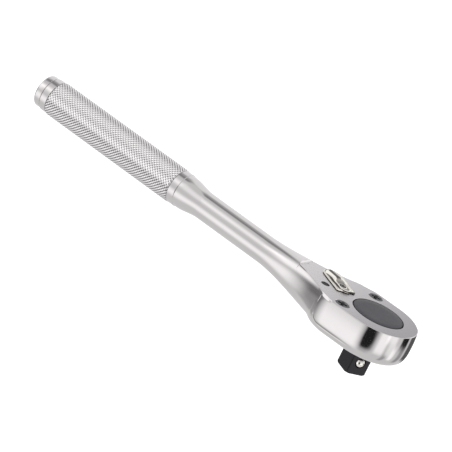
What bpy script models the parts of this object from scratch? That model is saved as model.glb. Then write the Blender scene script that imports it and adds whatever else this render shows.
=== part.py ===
"""A reversible ratchet with a square drive: forged body, lid, gear, twin pawls and reversing lever.

The origin is the centre of the square drive's end face. +Z runs up the drive axis to the lid, +X runs to
the head's nose, and the handle lies along -X. The lever is thrown to its +Y side, so the pawl on the -Y side
is lifted.
"""

import math

import bmesh
import bpy
from mathutils import Matrix, Vector

MM = 0.001

# Clearances
SEAT_GAP = 0.3 * MM
RUN_GAP = 0.2 * MM
SWING_GAP = 0.4 * MM
OVERCUT = 4.0 * MM

# Square drive
SQUARE_SIDE = 9.525 * MM
SQUARE_LENGTH = 12.2 * MM
SQUARE_TURN = math.radians(-30)
SQUARE_CORNER = 0.25 * MM
END_CHAMFER_RADIUS = 5.9 * MM
END_CHAMFER_HEIGHT = 0.8 * MM

# Head
HEAD_THICKNESS = 15.5 * MM
HEAD_RADIUS = 18.4 * MM
HEAD_STRETCH = 11.0 * MM
HEAD_BULGE = 0.5 * MM
TOP_BEVEL = 0.3 * MM
BOTTOM_FILLET = 5.0 * MM
FLOOR_THICKNESS = 2.3 * MM

# Lid
PLATE_THICKNESS = 2.6 * MM
PLATE_REAR = 39.7 * MM
DISC_RADIUS = 11.65 * MM
DISC_CHAMFER = 0.5 * MM
SCREW_INSET = 1.0 * MM
SCREW_ANGLE = math.radians(126.9)
SCREW_HEAD_RADIUS = 3.25 * MM
SCREW_RADIUS = 1.5 * MM
SCREW_LENGTH = 10.5 * MM
RECESS_SPAN = 3.4 * MM
RECESS_WIDTH = 0.75 * MM
RECESS_DEPTH = 1.3 * MM
RECESS_TURN = math.radians(20)

# Gear
GEAR_TEETH = 36
GEAR_TIP_RADIUS = 13.5 * MM
TOOTH_DEPTH = 1.1 * MM
JOURNAL_RADIUS = 8.5 * MM
WASHER_THICKNESS = 0.5 * MM
WASHER_RIM = 12.0 * MM

# Socket ball
BALL_RADIUS = 2.2 * MM
BALL_PROUD = 1.0 * MM
BALL_HEIGHT = 5.7 * MM
BALL_BORE_DEPTH = 7.6 * MM

# Pawls and their pins
PIN_STANDOFF = 11.2 * MM
PIN_SPREAD = 7.0 * MM
PIN_RADIUS = 1.75 * MM
PIN_FLOOR = 1.1 * MM
PAWL_LIFT = math.radians(7)
PAWL_TOOTH_STEPS = 4
PAWL_BOSS_RADIUS = 3.2 * MM
PAWL_FACE_GAP = 0.35 * MM
PAWL_TOOTH_TIP_GAP = 0.35 * MM
PAWL_TOOTH_WIDTH = 1.9 * MM
PAWL_NOSE_DEPTH = 2.1 * MM
PAWL_NOSE_BACK = 0.7
PAWL_NOSE_SIDE = 0.4
PAWL_HEEL_HALF_GAP = 1.85 * MM
PAWL_HEEL_STEPS = 2.4
PAWL_FACE_STEPS = 1.2

# Lever
LEVER_STANDOFF = 6.7 * MM
LEVER_THROW = math.radians(60)
LEVER_WIDTH = 10.2 * MM
LEVER_TAIL = 13.4 * MM
LEVER_TAIL_WIDTH = 8.6 * MM
LEVER_BASE = 1.0 * MM
LEVER_EDGE = 0.6 * MM
RIDGE_HEIGHT = 1.65 * MM
RIDGE_TAIL_HEIGHT = 1.25 * MM
RIDGE_START = 4.3 * MM
RIDGE_WIDTH = 6.2 * MM
RIDGE_INSET = 0.7 * MM
RIDGE_TAPER = 0.8
HUB_DISH_RADIUS = 3.3 * MM
HUB_DISH_DEPTH = 0.4 * MM
STEM_RADIUS = 2.6 * MM
STEM_SQUARE = 3.2 * MM
CLIP_THICKNESS = 0.6 * MM
CLIP_WIDTH = 1.6 * MM
CAM_RADIUS = 3.4 * MM
CAM_TONGUE = 5.1 * MM
CAM_TONGUE_WIDTH = 2.3 * MM
LEVER_BALL_RADIUS = 1.2 * MM
LEVER_BALL_TRAVEL = 0.6 * MM

# Springs
WIRE_RADIUS = 0.22 * MM
SPRING_RADIUS = 1.35 * MM
SPRING_TURNS = 3.5
STEPS_PER_TURN = 10
PAWL_SPRING_DEPTH = 3.4 * MM
LEVER_SPRING_LENGTH = 3.6 * MM
LEVER_SPRING_RADIUS = 0.85 * MM

# Neck and handle
AXIS_DROP = 6.6 * MM
HANDLE_TILT = math.radians(0.4)
NECK_RADIUS = 6.2 * MM
NECK_FLARE_LENGTH = 40.0 * MM
NECK_FLARE_END = 20.0 * MM
NECK_FLARE_HALF_WIDTH = 17.4 * MM
NECK_CROWN_RISE = 3.3 * MM
FLARE_WIDTH_POWER = 2.5
FLARE_CROWN_POWER = 1.5
FLARE_DEPTH_SHARE = 0.8
FLARE_SQUARENESS = 3
FLARE_SQUARE_POWER = 2.5
SHOULDER_RADIUS = 7.65 * MM
SHOULDER_LENGTH = 11.0 * MM
GRIP_RADIUS = 8.2 * MM
GRIP_LENGTH = 72.6 * MM
BAND_RADIUS = 7.9 * MM
BAND_WIDTH = 3.0 * MM
GROOVE_WIDTH = 0.5 * MM
GROOVE_DEPTH = 0.7 * MM
BUTT_BAND_WIDTH = 3.4 * MM
BUTT_RADIUS = 7.6 * MM
BUTT_ROUND = 0.9 * MM
HANDLE_END = 191.5 * MM

# Facets
RING_POINTS = 40
ROUND_STEPS = 48
SMALL_STEPS = 20
NECK_STATIONS = 14
SHOULDER_STATIONS = 6
BELLY_STATIONS = 5
SHARP_ANGLE = math.radians(30)

# Shares of the lever edge's inset and of the base's height, from the bottom up
LEVER_EDGE_STATIONS = ((0.2, 0), (0, 0.25), (0.1, 0.6), (0.4, 0.85), (1, 1))

# Shares of the ridge's length, height and width, from the hub to the tail, and the angles across its crest
RIDGE_STATIONS = (
    (0, 0.8, 0.85),
    (0.06, 1, 0.95),
    (0.4, 1, 1),
    (0.75, 1, 0.9),
    (0.92, 0.95, 0.7),
    (1, 0.85, 0.4),
)
RIDGE_LEANS = [math.radians(degrees) for degrees in (15, 50, 90, 130, 165)]

# Levels that follow from the sizes above
HEAD_BOTTOM = SQUARE_LENGTH
PLATE_TOP = SQUARE_LENGTH + HEAD_THICKNESS
PLATE_UNDERSIDE = PLATE_TOP - PLATE_THICKNESS
BODY_RIM = PLATE_UNDERSIDE - SEAT_GAP
POCKET_FLOOR = HEAD_BOTTOM + FLOOR_THICKNESS
AXIS_HEIGHT = PLATE_TOP - AXIS_DROP
WASHER_BOTTOM = POCKET_FLOOR + RUN_GAP
GEAR_BOTTOM = WASHER_BOTTOM + WASHER_THICKNESS + RUN_GAP
GEAR_TOP = PLATE_UNDERSIDE - SWING_GAP
PAWL_BOTTOM = POCKET_FLOOR + SWING_GAP
CLIP_TOP = PLATE_UNDERSIDE - RUN_GAP
CLIP_BOTTOM = CLIP_TOP - CLIP_THICKNESS
PAWL_TOP = CLIP_BOTTOM - SWING_GAP

# Places that follow from the sizes above
LEVER_X = -(GEAR_TIP_RADIUS + LEVER_STANDOFF)
PIN_X = -(GEAR_TIP_RADIUS + PIN_STANDOFF)
SCREW_CIRCLE = HEAD_RADIUS - SCREW_INSET
GEAR_PITCH = 2 * math.pi / GEAR_TEETH
POCKET_RADIUS = GEAR_TIP_RADIUS + SWING_GAP
POCKET_REAR = PIN_X - SEAT_GAP
BALL_NORMAL = Vector((math.cos(SQUARE_TURN), math.sin(SQUARE_TURN), 0))
LEVER_REST = math.pi - LEVER_THROW / 2


def clear_scene():
    for old in list(bpy.data.objects):
        bpy.data.objects.remove(old, do_unlink=True)


def make_collection(name):
    group = bpy.data.collections.new(name)
    bpy.context.scene.collection.children.link(group)
    return group


def make_material(name, colour, roughness, metallic):
    finish = bpy.data.materials.new(name)
    finish.use_nodes = True
    shader = finish.node_tree.nodes["Principled BSDF"]
    shader.inputs["Base Color"].default_value = (*colour, 1)
    shader.inputs["Roughness"].default_value = roughness
    shader.inputs["Metallic"].default_value = metallic
    return finish


def add_object(name, mesh, group, location=(0, 0, 0), turn=0.0):
    """An object with its origin at location, turned about +Z."""
    obj = bpy.data.objects.new(name, mesh)
    obj.location = location
    obj.rotation_euler = (0, 0, turn)
    group.objects.link(obj)
    return obj


def add_piece(name, mesh, finish, location=(0, 0, 0), turn=0.0):
    obj = add_object(name, mesh, pieces, location, turn)
    set_finish(obj, finish)
    return obj


def set_finish(obj, finish):
    colour, roughness, metallic = finish
    obj.data.materials.clear()
    obj.data.materials.append(make_material(obj.name, colour, roughness, metallic))
    if obj.type == "MESH":
        obj.data.shade_smooth()
        obj.data.set_sharp_from_angle(angle=SHARP_ANGLE)


def add_cutter(name, mesh, location=(0, 0, 0), turn=0.0):
    obj = add_object(name, mesh, cutters, location, turn)
    obj.hide_render = True
    obj.display_type = "WIRE"
    return obj


def combine(target, tool, operation):
    step = target.modifiers.new(tool.name, "BOOLEAN")
    step.operation = operation
    step.object = tool
    step.solver = "EXACT"


def cut(target, *tools):
    for tool in tools:
        combine(target, tool, "DIFFERENCE")


def finish_mesh(form, name):
    mesh = bpy.data.meshes.new(name)
    form.to_mesh(mesh)
    form.free()
    return mesh


def cylinder(name, radius, bottom, top, steps=ROUND_STEPS, top_radius=None):
    """An upright cylinder or cone between two heights."""
    form = bmesh.new()
    bmesh.ops.create_cone(
        form,
        cap_ends=True,
        segments=steps,
        radius1=radius,
        radius2=radius if top_radius is None else top_radius,
        depth=top - bottom,
        matrix=Matrix.Translation((0, 0, (top + bottom) / 2)),
    )
    return finish_mesh(form, name)


def box(name, low, high):
    """A box between its lowest and highest corners."""
    low, high = Vector(low), Vector(high)
    form = bmesh.new()
    size = Matrix.Diagonal((*(high - low), 1))
    bmesh.ops.create_cube(form, size=1, matrix=Matrix.Translation((low + high) / 2) @ size)
    return finish_mesh(form, name)


def ball(name, radius):
    form = bmesh.new()
    bmesh.ops.create_uvsphere(form, u_segments=16, v_segments=10, radius=radius)
    return finish_mesh(form, name)


def laid_along(mesh, direction, start):
    """Turns an upright mesh so that +Z lies along direction, then moves it to start."""
    turn = Vector((0, 0, 1)).rotation_difference(Vector(direction)).to_matrix().to_4x4()
    mesh.transform(Matrix.Translation(start) @ turn)
    return mesh


def loft(name, rings):
    """A closed skin through rings that have the same number of points, with flat ends."""
    form = bmesh.new()
    loops = [[form.verts.new(point) for point in ring] for ring in rings]
    for lower, upper in zip(loops, loops[1:]):
        for i in range(len(lower)):
            j = (i + 1) % len(lower)
            form.faces.new((lower[i], lower[j], upper[j], upper[i]))
    form.faces.new(reversed(loops[0]))
    form.faces.new(loops[-1])
    bmesh.ops.recalc_face_normals(form, faces=form.faces)
    return finish_mesh(form, name)


def turned(name, profile, group_piece, steps=ROUND_STEPS):
    """A turned piece about Z: profile points (radius, height) run down its outer side from pole to pole."""
    mesh = bpy.data.meshes.new(name)
    points = [(radius, 0, height) for radius, height in profile]
    mesh.from_pydata(points, [(i, i + 1) for i in range(len(points) - 1)], [])
    obj = group_piece(name, mesh)
    spin = obj.modifiers.new("turn", "SCREW")
    spin.steps = steps
    spin.render_steps = steps
    spin.use_merge_vertices = True
    spin.merge_threshold = 0.00001
    return obj


def extruded(name, outline, bottom, top):
    """A flat outline of (x, y) points made as thick as bottom to top, as a mesh."""
    curve = bpy.data.curves.new(name, "CURVE")
    curve.dimensions = "2D"
    curve.fill_mode = "BOTH"
    curve.extrude = (top - bottom) / 2
    spline = curve.splines.new("POLY")
    spline.points.add(len(outline) - 1)
    for point, (x, y) in zip(spline.points, outline):
        point.co = (x, y, 0, 1)
    spline.use_cyclic_u = True
    guide = bpy.data.objects.new(name, curve)
    cutters.objects.link(guide)
    evaluated = guide.evaluated_get(bpy.context.evaluated_depsgraph_get())
    mesh = bpy.data.meshes.new_from_object(evaluated)
    bpy.data.objects.remove(guide)
    form = bmesh.new()
    form.from_mesh(mesh)
    bmesh.ops.remove_doubles(form, verts=form.verts, dist=0.000001)
    bmesh.ops.recalc_face_normals(form, faces=form.faces)
    bmesh.ops.translate(form, verts=form.verts, vec=(0, 0, (top + bottom) / 2))
    form.to_mesh(mesh)
    form.free()
    return mesh


def arc(centre, radius, start, end, steps):
    """Points on an arc, both ends included."""
    angles = [start + (end - start) * i / steps for i in range(steps + 1)]
    return [(centre[0] + radius * math.cos(a), centre[1] + radius * math.sin(a)) for a in angles]


def coil(name, radius, length, start, direction):
    """A compression spring of round wire whose ends lie inside the given length."""
    count = round(SPRING_TURNS * STEPS_PER_TURN)
    rise = length - 2 * WIRE_RADIUS
    curve = bpy.data.curves.new(name, "CURVE")
    curve.dimensions = "3D"
    curve.bevel_depth = WIRE_RADIUS
    curve.bevel_resolution = 1
    curve.use_fill_caps = True
    spline = curve.splines.new("POLY")
    spline.points.add(count)
    turn = Vector((0, 0, 1)).rotation_difference(Vector(direction)).to_matrix()
    for i, point in enumerate(spline.points):
        angle = 2 * math.pi * i / STEPS_PER_TURN
        centre_line = radius - WIRE_RADIUS
        height = WIRE_RADIUS + rise * i / count
        place = turn @ Vector((centre_line * math.cos(angle), centre_line * math.sin(angle), height))
        point.co = (*(place + Vector(start)), 1)
    return curve


def smooth(share):
    """Eases from 0 to 1."""
    share = min(max(share, 0), 1)
    return share * share * (3 - 2 * share)


def neck_section(x):
    """Half width, height above and below the axis, and squareness of the neck at x."""
    start = -(NECK_FLARE_END + NECK_FLARE_LENGTH)
    share = min(max((x - start) / NECK_FLARE_LENGTH, 0), 1)
    half_width = NECK_RADIUS + (NECK_FLARE_HALF_WIDTH - NECK_RADIUS) * share**FLARE_WIDTH_POWER
    above = NECK_RADIUS + NECK_CROWN_RISE * share**FLARE_CROWN_POWER
    full_depth = axis_height(x) - HEAD_BOTTOM
    below = NECK_RADIUS + (full_depth - NECK_RADIUS) * smooth(share / FLARE_DEPTH_SHARE)
    squareness = 2 + FLARE_SQUARENESS * share**FLARE_SQUARE_POWER
    return half_width, above, below, squareness


def axis_height(x):
    """Height of the handle's axis, which rises a little towards the butt."""
    return AXIS_HEIGHT - x * math.tan(HANDLE_TILT)


def section_ring(x, half_width, above, below, squareness):
    """Points of a rounded section across the handle's axis, from a circle to nearly a box."""
    ring = []
    power = 2 / squareness
    for i in range(RING_POINTS):
        angle = 2 * math.pi * (i + 0.5) / RING_POINTS
        across = math.copysign(abs(math.cos(angle)) ** power, math.cos(angle))
        up = math.copysign(abs(math.sin(angle)) ** power, math.sin(angle))
        height = above if up > 0 else below
        ring.append((x, half_width * across, axis_height(x) + height * up))
    return ring


def handle_profile():
    """(x, radius) along the turned handle, from the butt to the slim neck."""
    x = -HANDLE_END
    points = [(x, BUTT_RADIUS - BUTT_ROUND)]
    points += [
        (x + BUTT_ROUND * (1 - math.cos(a)), BUTT_RADIUS - BUTT_ROUND * (1 - math.sin(a)))
        for a in (math.radians(30), math.radians(60), math.radians(90))
    ]
    x += BUTT_BAND_WIDTH
    band = (BAND_RADIUS, BAND_WIDTH)
    for radius, width in (band, (GRIP_RADIUS, GRIP_LENGTH), band):
        before = points[-1][1]
        bottom = min(before, radius) - GROOVE_DEPTH
        points += [(x, before), (x + GROOVE_WIDTH / 4, bottom), (x + GROOVE_WIDTH, bottom)]
        x += GROOVE_WIDTH * 1.25
        points.append((x, radius))
        x += width
    points += [(x, BAND_RADIUS), (x + GROOVE_WIDTH / 4, SHOULDER_RADIUS - GROOVE_DEPTH)]
    x += GROOVE_WIDTH
    points.append((x, SHOULDER_RADIUS - GROOVE_DEPTH / 2))
    x += GROOVE_WIDTH * 2
    for i in range(SHOULDER_STATIONS + 1):
        share = i / SHOULDER_STATIONS
        radius = SHOULDER_RADIUS + (NECK_RADIUS - SHOULDER_RADIUS) * smooth(share)
        points.append((x + SHOULDER_LENGTH * share, radius))
    return points


def body_form(name):
    """The forging's outer skin without its head: handle, neck and flare as one loft."""
    rings = [section_ring(x, r, r, r, 2) for x, r in handle_profile()]
    flare_start = -(NECK_FLARE_END + NECK_FLARE_LENGTH)
    for i in range(NECK_STATIONS + 1):
        x = flare_start + NECK_FLARE_LENGTH * i / NECK_STATIONS
        rings.append(section_ring(x, *neck_section(x)))
    return loft(name, rings)


def head_form(name):
    """The barrel-sided head: the hull of two equal turned discs, one behind the other."""
    bulge = HEAD_RADIUS + HEAD_BULGE
    belly_top = PLATE_TOP - TOP_BEVEL
    belly_bottom = HEAD_BOTTOM + BOTTOM_FILLET
    profile = [(HEAD_RADIUS - TOP_BEVEL, PLATE_TOP + TOP_BEVEL), (HEAD_RADIUS + TOP_BEVEL, belly_top)]
    for i in range(1, BELLY_STATIONS):
        share = i / BELLY_STATIONS
        swell = math.sin(math.pi / 2 * share)
        radius = HEAD_RADIUS + TOP_BEVEL + (HEAD_BULGE - TOP_BEVEL) * swell
        profile.append((radius, belly_top + (belly_bottom - belly_top) * share))
    centre = (bulge - BOTTOM_FILLET, belly_bottom)
    profile += arc(centre, BOTTOM_FILLET, 0, -math.pi / 2, BELLY_STATIONS)
    form = bmesh.new()
    for radius, height in profile:
        for i in range(ROUND_STEPS):
            angle = 2 * math.pi * i / ROUND_STEPS
            back = -HEAD_STRETCH if math.cos(angle) < -1e-6 else 0
            form.verts.new((back + radius * math.cos(angle), radius * math.sin(angle), height))
            if abs(math.cos(angle)) < 1e-6:
                form.verts.new((-HEAD_STRETCH, radius * math.sin(angle), height))
    hull = bmesh.ops.convex_hull(form, input=form.verts)
    loose = [item for item in hull["geom_interior"] if isinstance(item, bmesh.types.BMVert)]
    bmesh.ops.delete(form, geom=loose, context="VERTS")
    return finish_mesh(form, name)


def gear_ring(radius_at, height):
    """Points round the drive axis, two for each tooth."""
    ring = []
    for i in range(2 * GEAR_TEETH):
        angle = i * GEAR_PITCH / 2
        radius = radius_at(angle)
        ring.append((radius * math.cos(angle), radius * math.sin(angle), height))
    return ring


def square_radius(angle):
    """Distance from the axis to the side of the square drive."""
    turn = (angle - SQUARE_TURN) % (math.pi / 2)
    turn = min(turn, math.pi / 2 - turn)
    return min(SQUARE_SIDE / 2 / math.cos(turn), SQUARE_SIDE / math.sqrt(2) - SQUARE_CORNER)


def drive_form(name):
    """Disc, toothed ring, journal and square drive as one loft about the drive axis."""
    tip = GEAR_TIP_RADIUS
    root = tip - TOOTH_DEPTH

    def teeth(angle):
        return tip if round(angle / (GEAR_PITCH / 2)) % 2 else root

    def round_at(radius):
        return lambda angle: radius

    def chamfered(angle):
        return min(square_radius(angle), END_CHAMFER_RADIUS)

    rings = [
        gear_ring(chamfered, 0),
        gear_ring(square_radius, END_CHAMFER_HEIGHT),
        gear_ring(square_radius, HEAD_BOTTOM),
        gear_ring(round_at(JOURNAL_RADIUS), HEAD_BOTTOM),
        gear_ring(round_at(JOURNAL_RADIUS), GEAR_BOTTOM),
        gear_ring(teeth, GEAR_BOTTOM),
        gear_ring(teeth, GEAR_TOP),
        gear_ring(round_at(DISC_RADIUS), GEAR_TOP),
        gear_ring(round_at(DISC_RADIUS), PLATE_TOP - DISC_CHAMFER),
        gear_ring(round_at(DISC_RADIUS - DISC_CHAMFER), PLATE_TOP),
    ]
    return loft(name, rings)


def make_body():
    body = add_piece("ratchet_body", body_form("ratchet_body"), CHROME)
    combine(body, head_block, "UNION")
    wide = 2 * HEAD_RADIUS
    recess = box("lid_recess", (-PLATE_REAR, -wide, BODY_RIM), (wide, wide, 2 * PLATE_TOP))
    lid_recess = add_cutter("lid_recess", recess)
    top = BODY_RIM + OVERCUT
    low_top = POCKET_FLOOR + OVERCUT
    gear_well = add_cutter("gear_well", cylinder("gear_well", POCKET_RADIUS, POCKET_FLOOR, top))
    journal_bore = cylinder("journal_bore", JOURNAL_RADIUS + RUN_GAP, HEAD_BOTTOM - OVERCUT, low_top)
    cut(body, lid_recess, gear_well, add_cutter("journal_bore", journal_bore))
    cut(body, add_cutter("pawl_well", extruded("pawl_well", pawl_well_outline(), POCKET_FLOOR, top)))
    for side in SIDES:
        pin_place = (PIN_X, side * PIN_SPREAD, 0)
        boss_well = cylinder("boss_well", PAWL_BOSS_RADIUS + SWING_GAP, POCKET_FLOOR, top, SMALL_STEPS)
        pin_hole = cylinder("pin_hole", PIN_RADIUS + RUN_GAP, HEAD_BOTTOM + PIN_FLOOR, low_top, SMALL_STEPS)
        screw_bottom = PLATE_TOP - SCREW_LENGTH - SEAT_GAP
        screw_hole = cylinder("screw_hole", SCREW_RADIUS + RUN_GAP, screw_bottom, top, SMALL_STEPS)
        spring_depth = PAWL_SPRING_DEPTH + OVERCUT
        spring_hole = cylinder("spring_hole", SPRING_RADIUS + RUN_GAP, 0, spring_depth, SMALL_STEPS)
        start = (LEVER_X, side * (spring_wall() + PAWL_SPRING_DEPTH), spring_height())
        cut(
            body,
            add_cutter("boss_well", boss_well, pin_place),
            add_cutter("pin_hole", pin_hole, pin_place),
            add_cutter("screw_hole", screw_hole, screw_place(side)),
            add_cutter("spring_hole", laid_along(spring_hole, (0, -side, 0), start)),
        )
    depth = LEVER_BALL_RADIUS + LEVER_BALL_TRAVEL + LEVER_SPRING_LENGTH + OVERCUT
    ball_hole = cylinder("lever_ball_hole", LEVER_BALL_RADIUS + RUN_GAP, 0, depth + OVERCUT, SMALL_STEPS)
    ball_start = (lever_ball_x() - depth, 0, spring_height())
    cut(body, add_cutter("lever_ball_hole", laid_along(ball_hole, (1, 0, 0), ball_start)))


def make_plate():
    """The lid: the part of the outer skin that lies in a drilled slab."""
    low = (-PLATE_REAR + SEAT_GAP, -2 * HEAD_RADIUS, PLATE_UNDERSIDE)
    high = (2 * HEAD_RADIUS, 2 * HEAD_RADIUS, PLATE_TOP)
    slab = add_cutter("lid_slab", box("lid_slab", low, high))
    bottom = PLATE_UNDERSIDE - OVERCUT
    top = PLATE_TOP + OVERCUT
    disc_hole = cylinder("disc_hole", DISC_RADIUS + RUN_GAP, bottom, top, 2 * GEAR_TEETH)
    stem_hole = cylinder("stem_hole", STEM_RADIUS + RUN_GAP, bottom, top, SMALL_STEPS)
    cut(slab, add_cutter("disc_hole", disc_hole), add_cutter("stem_hole", stem_hole, (LEVER_X, 0, 0)))
    for side in SIDES:
        pin_hole = cylinder("lid_pin_hole", PIN_RADIUS + RUN_GAP, bottom, top, SMALL_STEPS)
        screw_hole = cylinder("lid_screw_hole", SCREW_RADIUS + RUN_GAP, bottom, top, SMALL_STEPS)
        cone_depth = SCREW_HEAD_RADIUS - SCREW_RADIUS
        countersink = cylinder(
            "countersink",
            SCREW_RADIUS,
            PLATE_TOP - cone_depth - RUN_GAP,
            PLATE_TOP + RUN_GAP,
            SMALL_STEPS,
            SCREW_HEAD_RADIUS + 2 * RUN_GAP,
        )
        cut(
            slab,
            add_cutter("lid_pin_hole", pin_hole, (PIN_X, side * PIN_SPREAD, 0)),
            add_cutter("lid_screw_hole", screw_hole, screw_place(side)),
            add_cutter("countersink", countersink, screw_place(side)),
        )
    plate = add_piece("cover_plate", body_form("cover_plate"), SATIN)
    combine(plate, head_block, "UNION")
    combine(plate, slab, "INTERSECT")


def screw_place(side):
    return (SCREW_CIRCLE * math.cos(SCREW_ANGLE), side * SCREW_CIRCLE * math.sin(SCREW_ANGLE), 0)


def make_screws():
    """Countersunk screws with a cross recess, set just below the lid's face."""
    head_top = PLATE_TOP - RUN_GAP / 2
    neck_height = head_top - (SCREW_HEAD_RADIUS - SCREW_RADIUS) + RUN_GAP / 2
    profile = [
        (0, head_top),
        (SCREW_HEAD_RADIUS, head_top),
        (SCREW_RADIUS, neck_height),
        (SCREW_RADIUS, PLATE_TOP - SCREW_LENGTH + SCREW_RADIUS / 2),
        (SCREW_RADIUS / 2, PLATE_TOP - SCREW_LENGTH),
        (0, PLATE_TOP - SCREW_LENGTH),
    ]
    for side, name in SIDES.items():
        place = screw_place(side)
        title = f"cover_screw_{name}"
        screw = turned(title, profile, lambda n, m: add_piece(n, m, DARK, place), SMALL_STEPS)
        for span_x, span_y in ((RECESS_SPAN, RECESS_WIDTH), (RECESS_WIDTH, RECESS_SPAN)):
            low = (-span_x / 2, -span_y / 2, head_top - RECESS_DEPTH)
            slot = box("cross_slot", low, (span_x / 2, span_y / 2, head_top + OVERCUT))
            cut(screw, add_cutter("cross_slot", slot, place, RECESS_TURN))


def make_drive():
    drive = add_piece("drive_gear", drive_form("drive_gear"), BLACK)
    mouth = BALL_NORMAL * (SQUARE_SIDE / 2 + OVERCUT) + Vector((0, 0, BALL_HEIGHT))
    bore = cylinder("ball_bore", BALL_RADIUS + RUN_GAP, 0, BALL_BORE_DEPTH + OVERCUT, SMALL_STEPS)
    cut(drive, add_cutter("ball_bore", laid_along(bore, -BALL_NORMAL, mouth)))
    reach = SQUARE_SIDE / 2 + BALL_PROUD - BALL_RADIUS
    ball_place = BALL_NORMAL * reach + Vector((0, 0, BALL_HEIGHT))
    add_piece("detent_ball", ball("detent_ball", BALL_RADIUS), BRIGHT, ball_place)
    spring_top = reach - BALL_PROUD - math.sqrt(BALL_RADIUS**2 - SPRING_RADIUS**2) - RUN_GAP
    bore_end = SQUARE_SIDE / 2 - BALL_BORE_DEPTH + RUN_GAP
    start = BALL_NORMAL * bore_end + Vector((0, 0, BALL_HEIGHT))
    spring = coil("detent_spring", SPRING_RADIUS, spring_top - bore_end, start, BALL_NORMAL)
    add_piece("detent_spring", spring, BRIGHT)
    inner = JOURNAL_RADIUS + RUN_GAP
    washer_top = WASHER_BOTTOM + WASHER_THICKNESS
    profile = [
        (inner, washer_top),
        (WASHER_RIM, washer_top),
        (WASHER_RIM, WASHER_BOTTOM),
        (inner, WASHER_BOTTOM),
    ]
    turned("thrust_washer", profile + profile[:1], lambda n, m: add_piece(n, m, BRIGHT))


def polar(radius, angle, side):
    """A point at radius from the drive axis, at angle from the handle towards the given side."""
    return (-radius * math.cos(angle), side * radius * math.sin(angle))


def pawl_outline(side):
    """The engaged pawl in plan: heel towards the cam, one tooth in the gear, back towards the wall."""
    face = GEAR_TIP_RADIUS + PAWL_FACE_GAP
    tip = GEAR_TIP_RADIUS - TOOTH_DEPTH + PAWL_TOOTH_TIP_GAP
    tooth = PAWL_TOOTH_STEPS * GEAR_PITCH
    half = PAWL_TOOTH_WIDTH / 2 / face
    back = PIN_SPREAD + PAWL_BOSS_RADIUS
    heel_front = polar(face, tooth - PAWL_HEEL_STEPS * GEAR_PITCH, side)
    nose = polar(face, tooth + half, side)
    nose_back = nose[0] - PAWL_NOSE_DEPTH * PAWL_NOSE_BACK
    nose_side = nose[1] + side * PAWL_NOSE_DEPTH * PAWL_NOSE_SIDE
    return [
        (PIN_X, side * (PIN_SPREAD - PAWL_BOSS_RADIUS)),
        (LEVER_X, side * (CAM_RADIUS + SWING_GAP)),
        (LEVER_X + CAM_RADIUS / 2, side * (CAM_RADIUS + SWING_GAP)),
        (LEVER_X + CAM_TONGUE - CAM_TONGUE_WIDTH / 2, side * PAWL_HEEL_HALF_GAP),
        (heel_front[0] - PAWL_FACE_GAP, heel_front[1]),
        polar(face, tooth - PAWL_FACE_STEPS * GEAR_PITCH, side),
        polar(face, tooth - half, side),
        polar(tip, tooth, side),
        nose,
        (nose_back, nose_side),
        (PIN_X, side * back),
    ]


def pawl_well_outline():
    """Plan of the pawls' well: room for either pawl when it is lifted."""
    ends = []
    for side in SIDES:
        nose, shoulder, _ = [swung(point, side) for point in pawl_outline(side)[-3:]]
        ends.append(
            [
                (POCKET_REAR, side * (PIN_SPREAD + PAWL_BOSS_RADIUS + SWING_GAP)),
                (shoulder[0], shoulder[1] + side * SWING_GAP),
                (nose[0] + SWING_GAP, nose[1] + side * SWING_GAP),
                (0, side * GEAR_TIP_RADIUS / 2),
            ]
        )
    near, far = ends
    return near + far[::-1]


def swung(point, side):
    """A point of a pawl after the cam has lifted it off the gear."""
    x, y = point[0] - PIN_X, point[1] - side * PIN_SPREAD
    angle = side * PAWL_LIFT
    return (
        PIN_X + x * math.cos(angle) - y * math.sin(angle),
        side * PIN_SPREAD + x * math.sin(angle) + y * math.cos(angle),
    )


def spring_height():
    return (PAWL_BOTTOM + PAWL_TOP) / 2


def back_at_lever():
    """Where a lifted pawl's back crosses the pawl spring's axis."""
    lifted = [swung(point, 1) for point in pawl_outline(1)[-2:]]
    (x0, y0), (x1, y1) = lifted
    return y0 + (y1 - y0) * (LEVER_X - x0) / (x1 - x0)


def spring_wall():
    return back_at_lever() + SWING_GAP


def make_pawls():
    for side, name in SIDES.items():
        place = (PIN_X, side * PIN_SPREAD, 0)
        outline = [(x - place[0], y - place[1]) for x, y in pawl_outline(side)]
        lift = side * PAWL_LIFT if side == LIFTED_SIDE else 0
        title = f"pawl_{name}"
        pawl = add_piece(title, extruded(title, outline, PAWL_BOTTOM, PAWL_TOP), TOOL, place, lift)
        inset = RUN_GAP / 2
        boss = cylinder("pawl_boss", PAWL_BOSS_RADIUS, PAWL_BOTTOM + inset, PAWL_TOP - inset, SMALL_STEPS)
        combine(pawl, add_cutter("pawl_boss", boss, place), "UNION")
        low, high = PAWL_BOTTOM - OVERCUT, PAWL_TOP + OVERCUT
        bore = cylinder("pawl_bore", PIN_RADIUS + RUN_GAP, low, high, SMALL_STEPS)
        cut(pawl, add_cutter("pawl_bore", bore, place))
        pin_bottom = HEAD_BOTTOM + PIN_FLOOR + SEAT_GAP
        pin = cylinder(f"pawl_pin_{name}", PIN_RADIUS, pin_bottom, PLATE_TOP - RUN_GAP, SMALL_STEPS)
        add_piece(f"pawl_pin_{name}", pin, DARK, place)
        start = Vector((LEVER_X, side * (spring_wall() + PAWL_SPRING_DEPTH - RUN_GAP), spring_height()))
        length = PAWL_SPRING_DEPTH + SWING_GAP - 2 * RUN_GAP
        spring = coil(f"pawl_spring_{name}", SPRING_RADIUS, length, start, (0, -side, 0))
        add_piece(f"pawl_spring_{name}", spring, BRIGHT)


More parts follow.
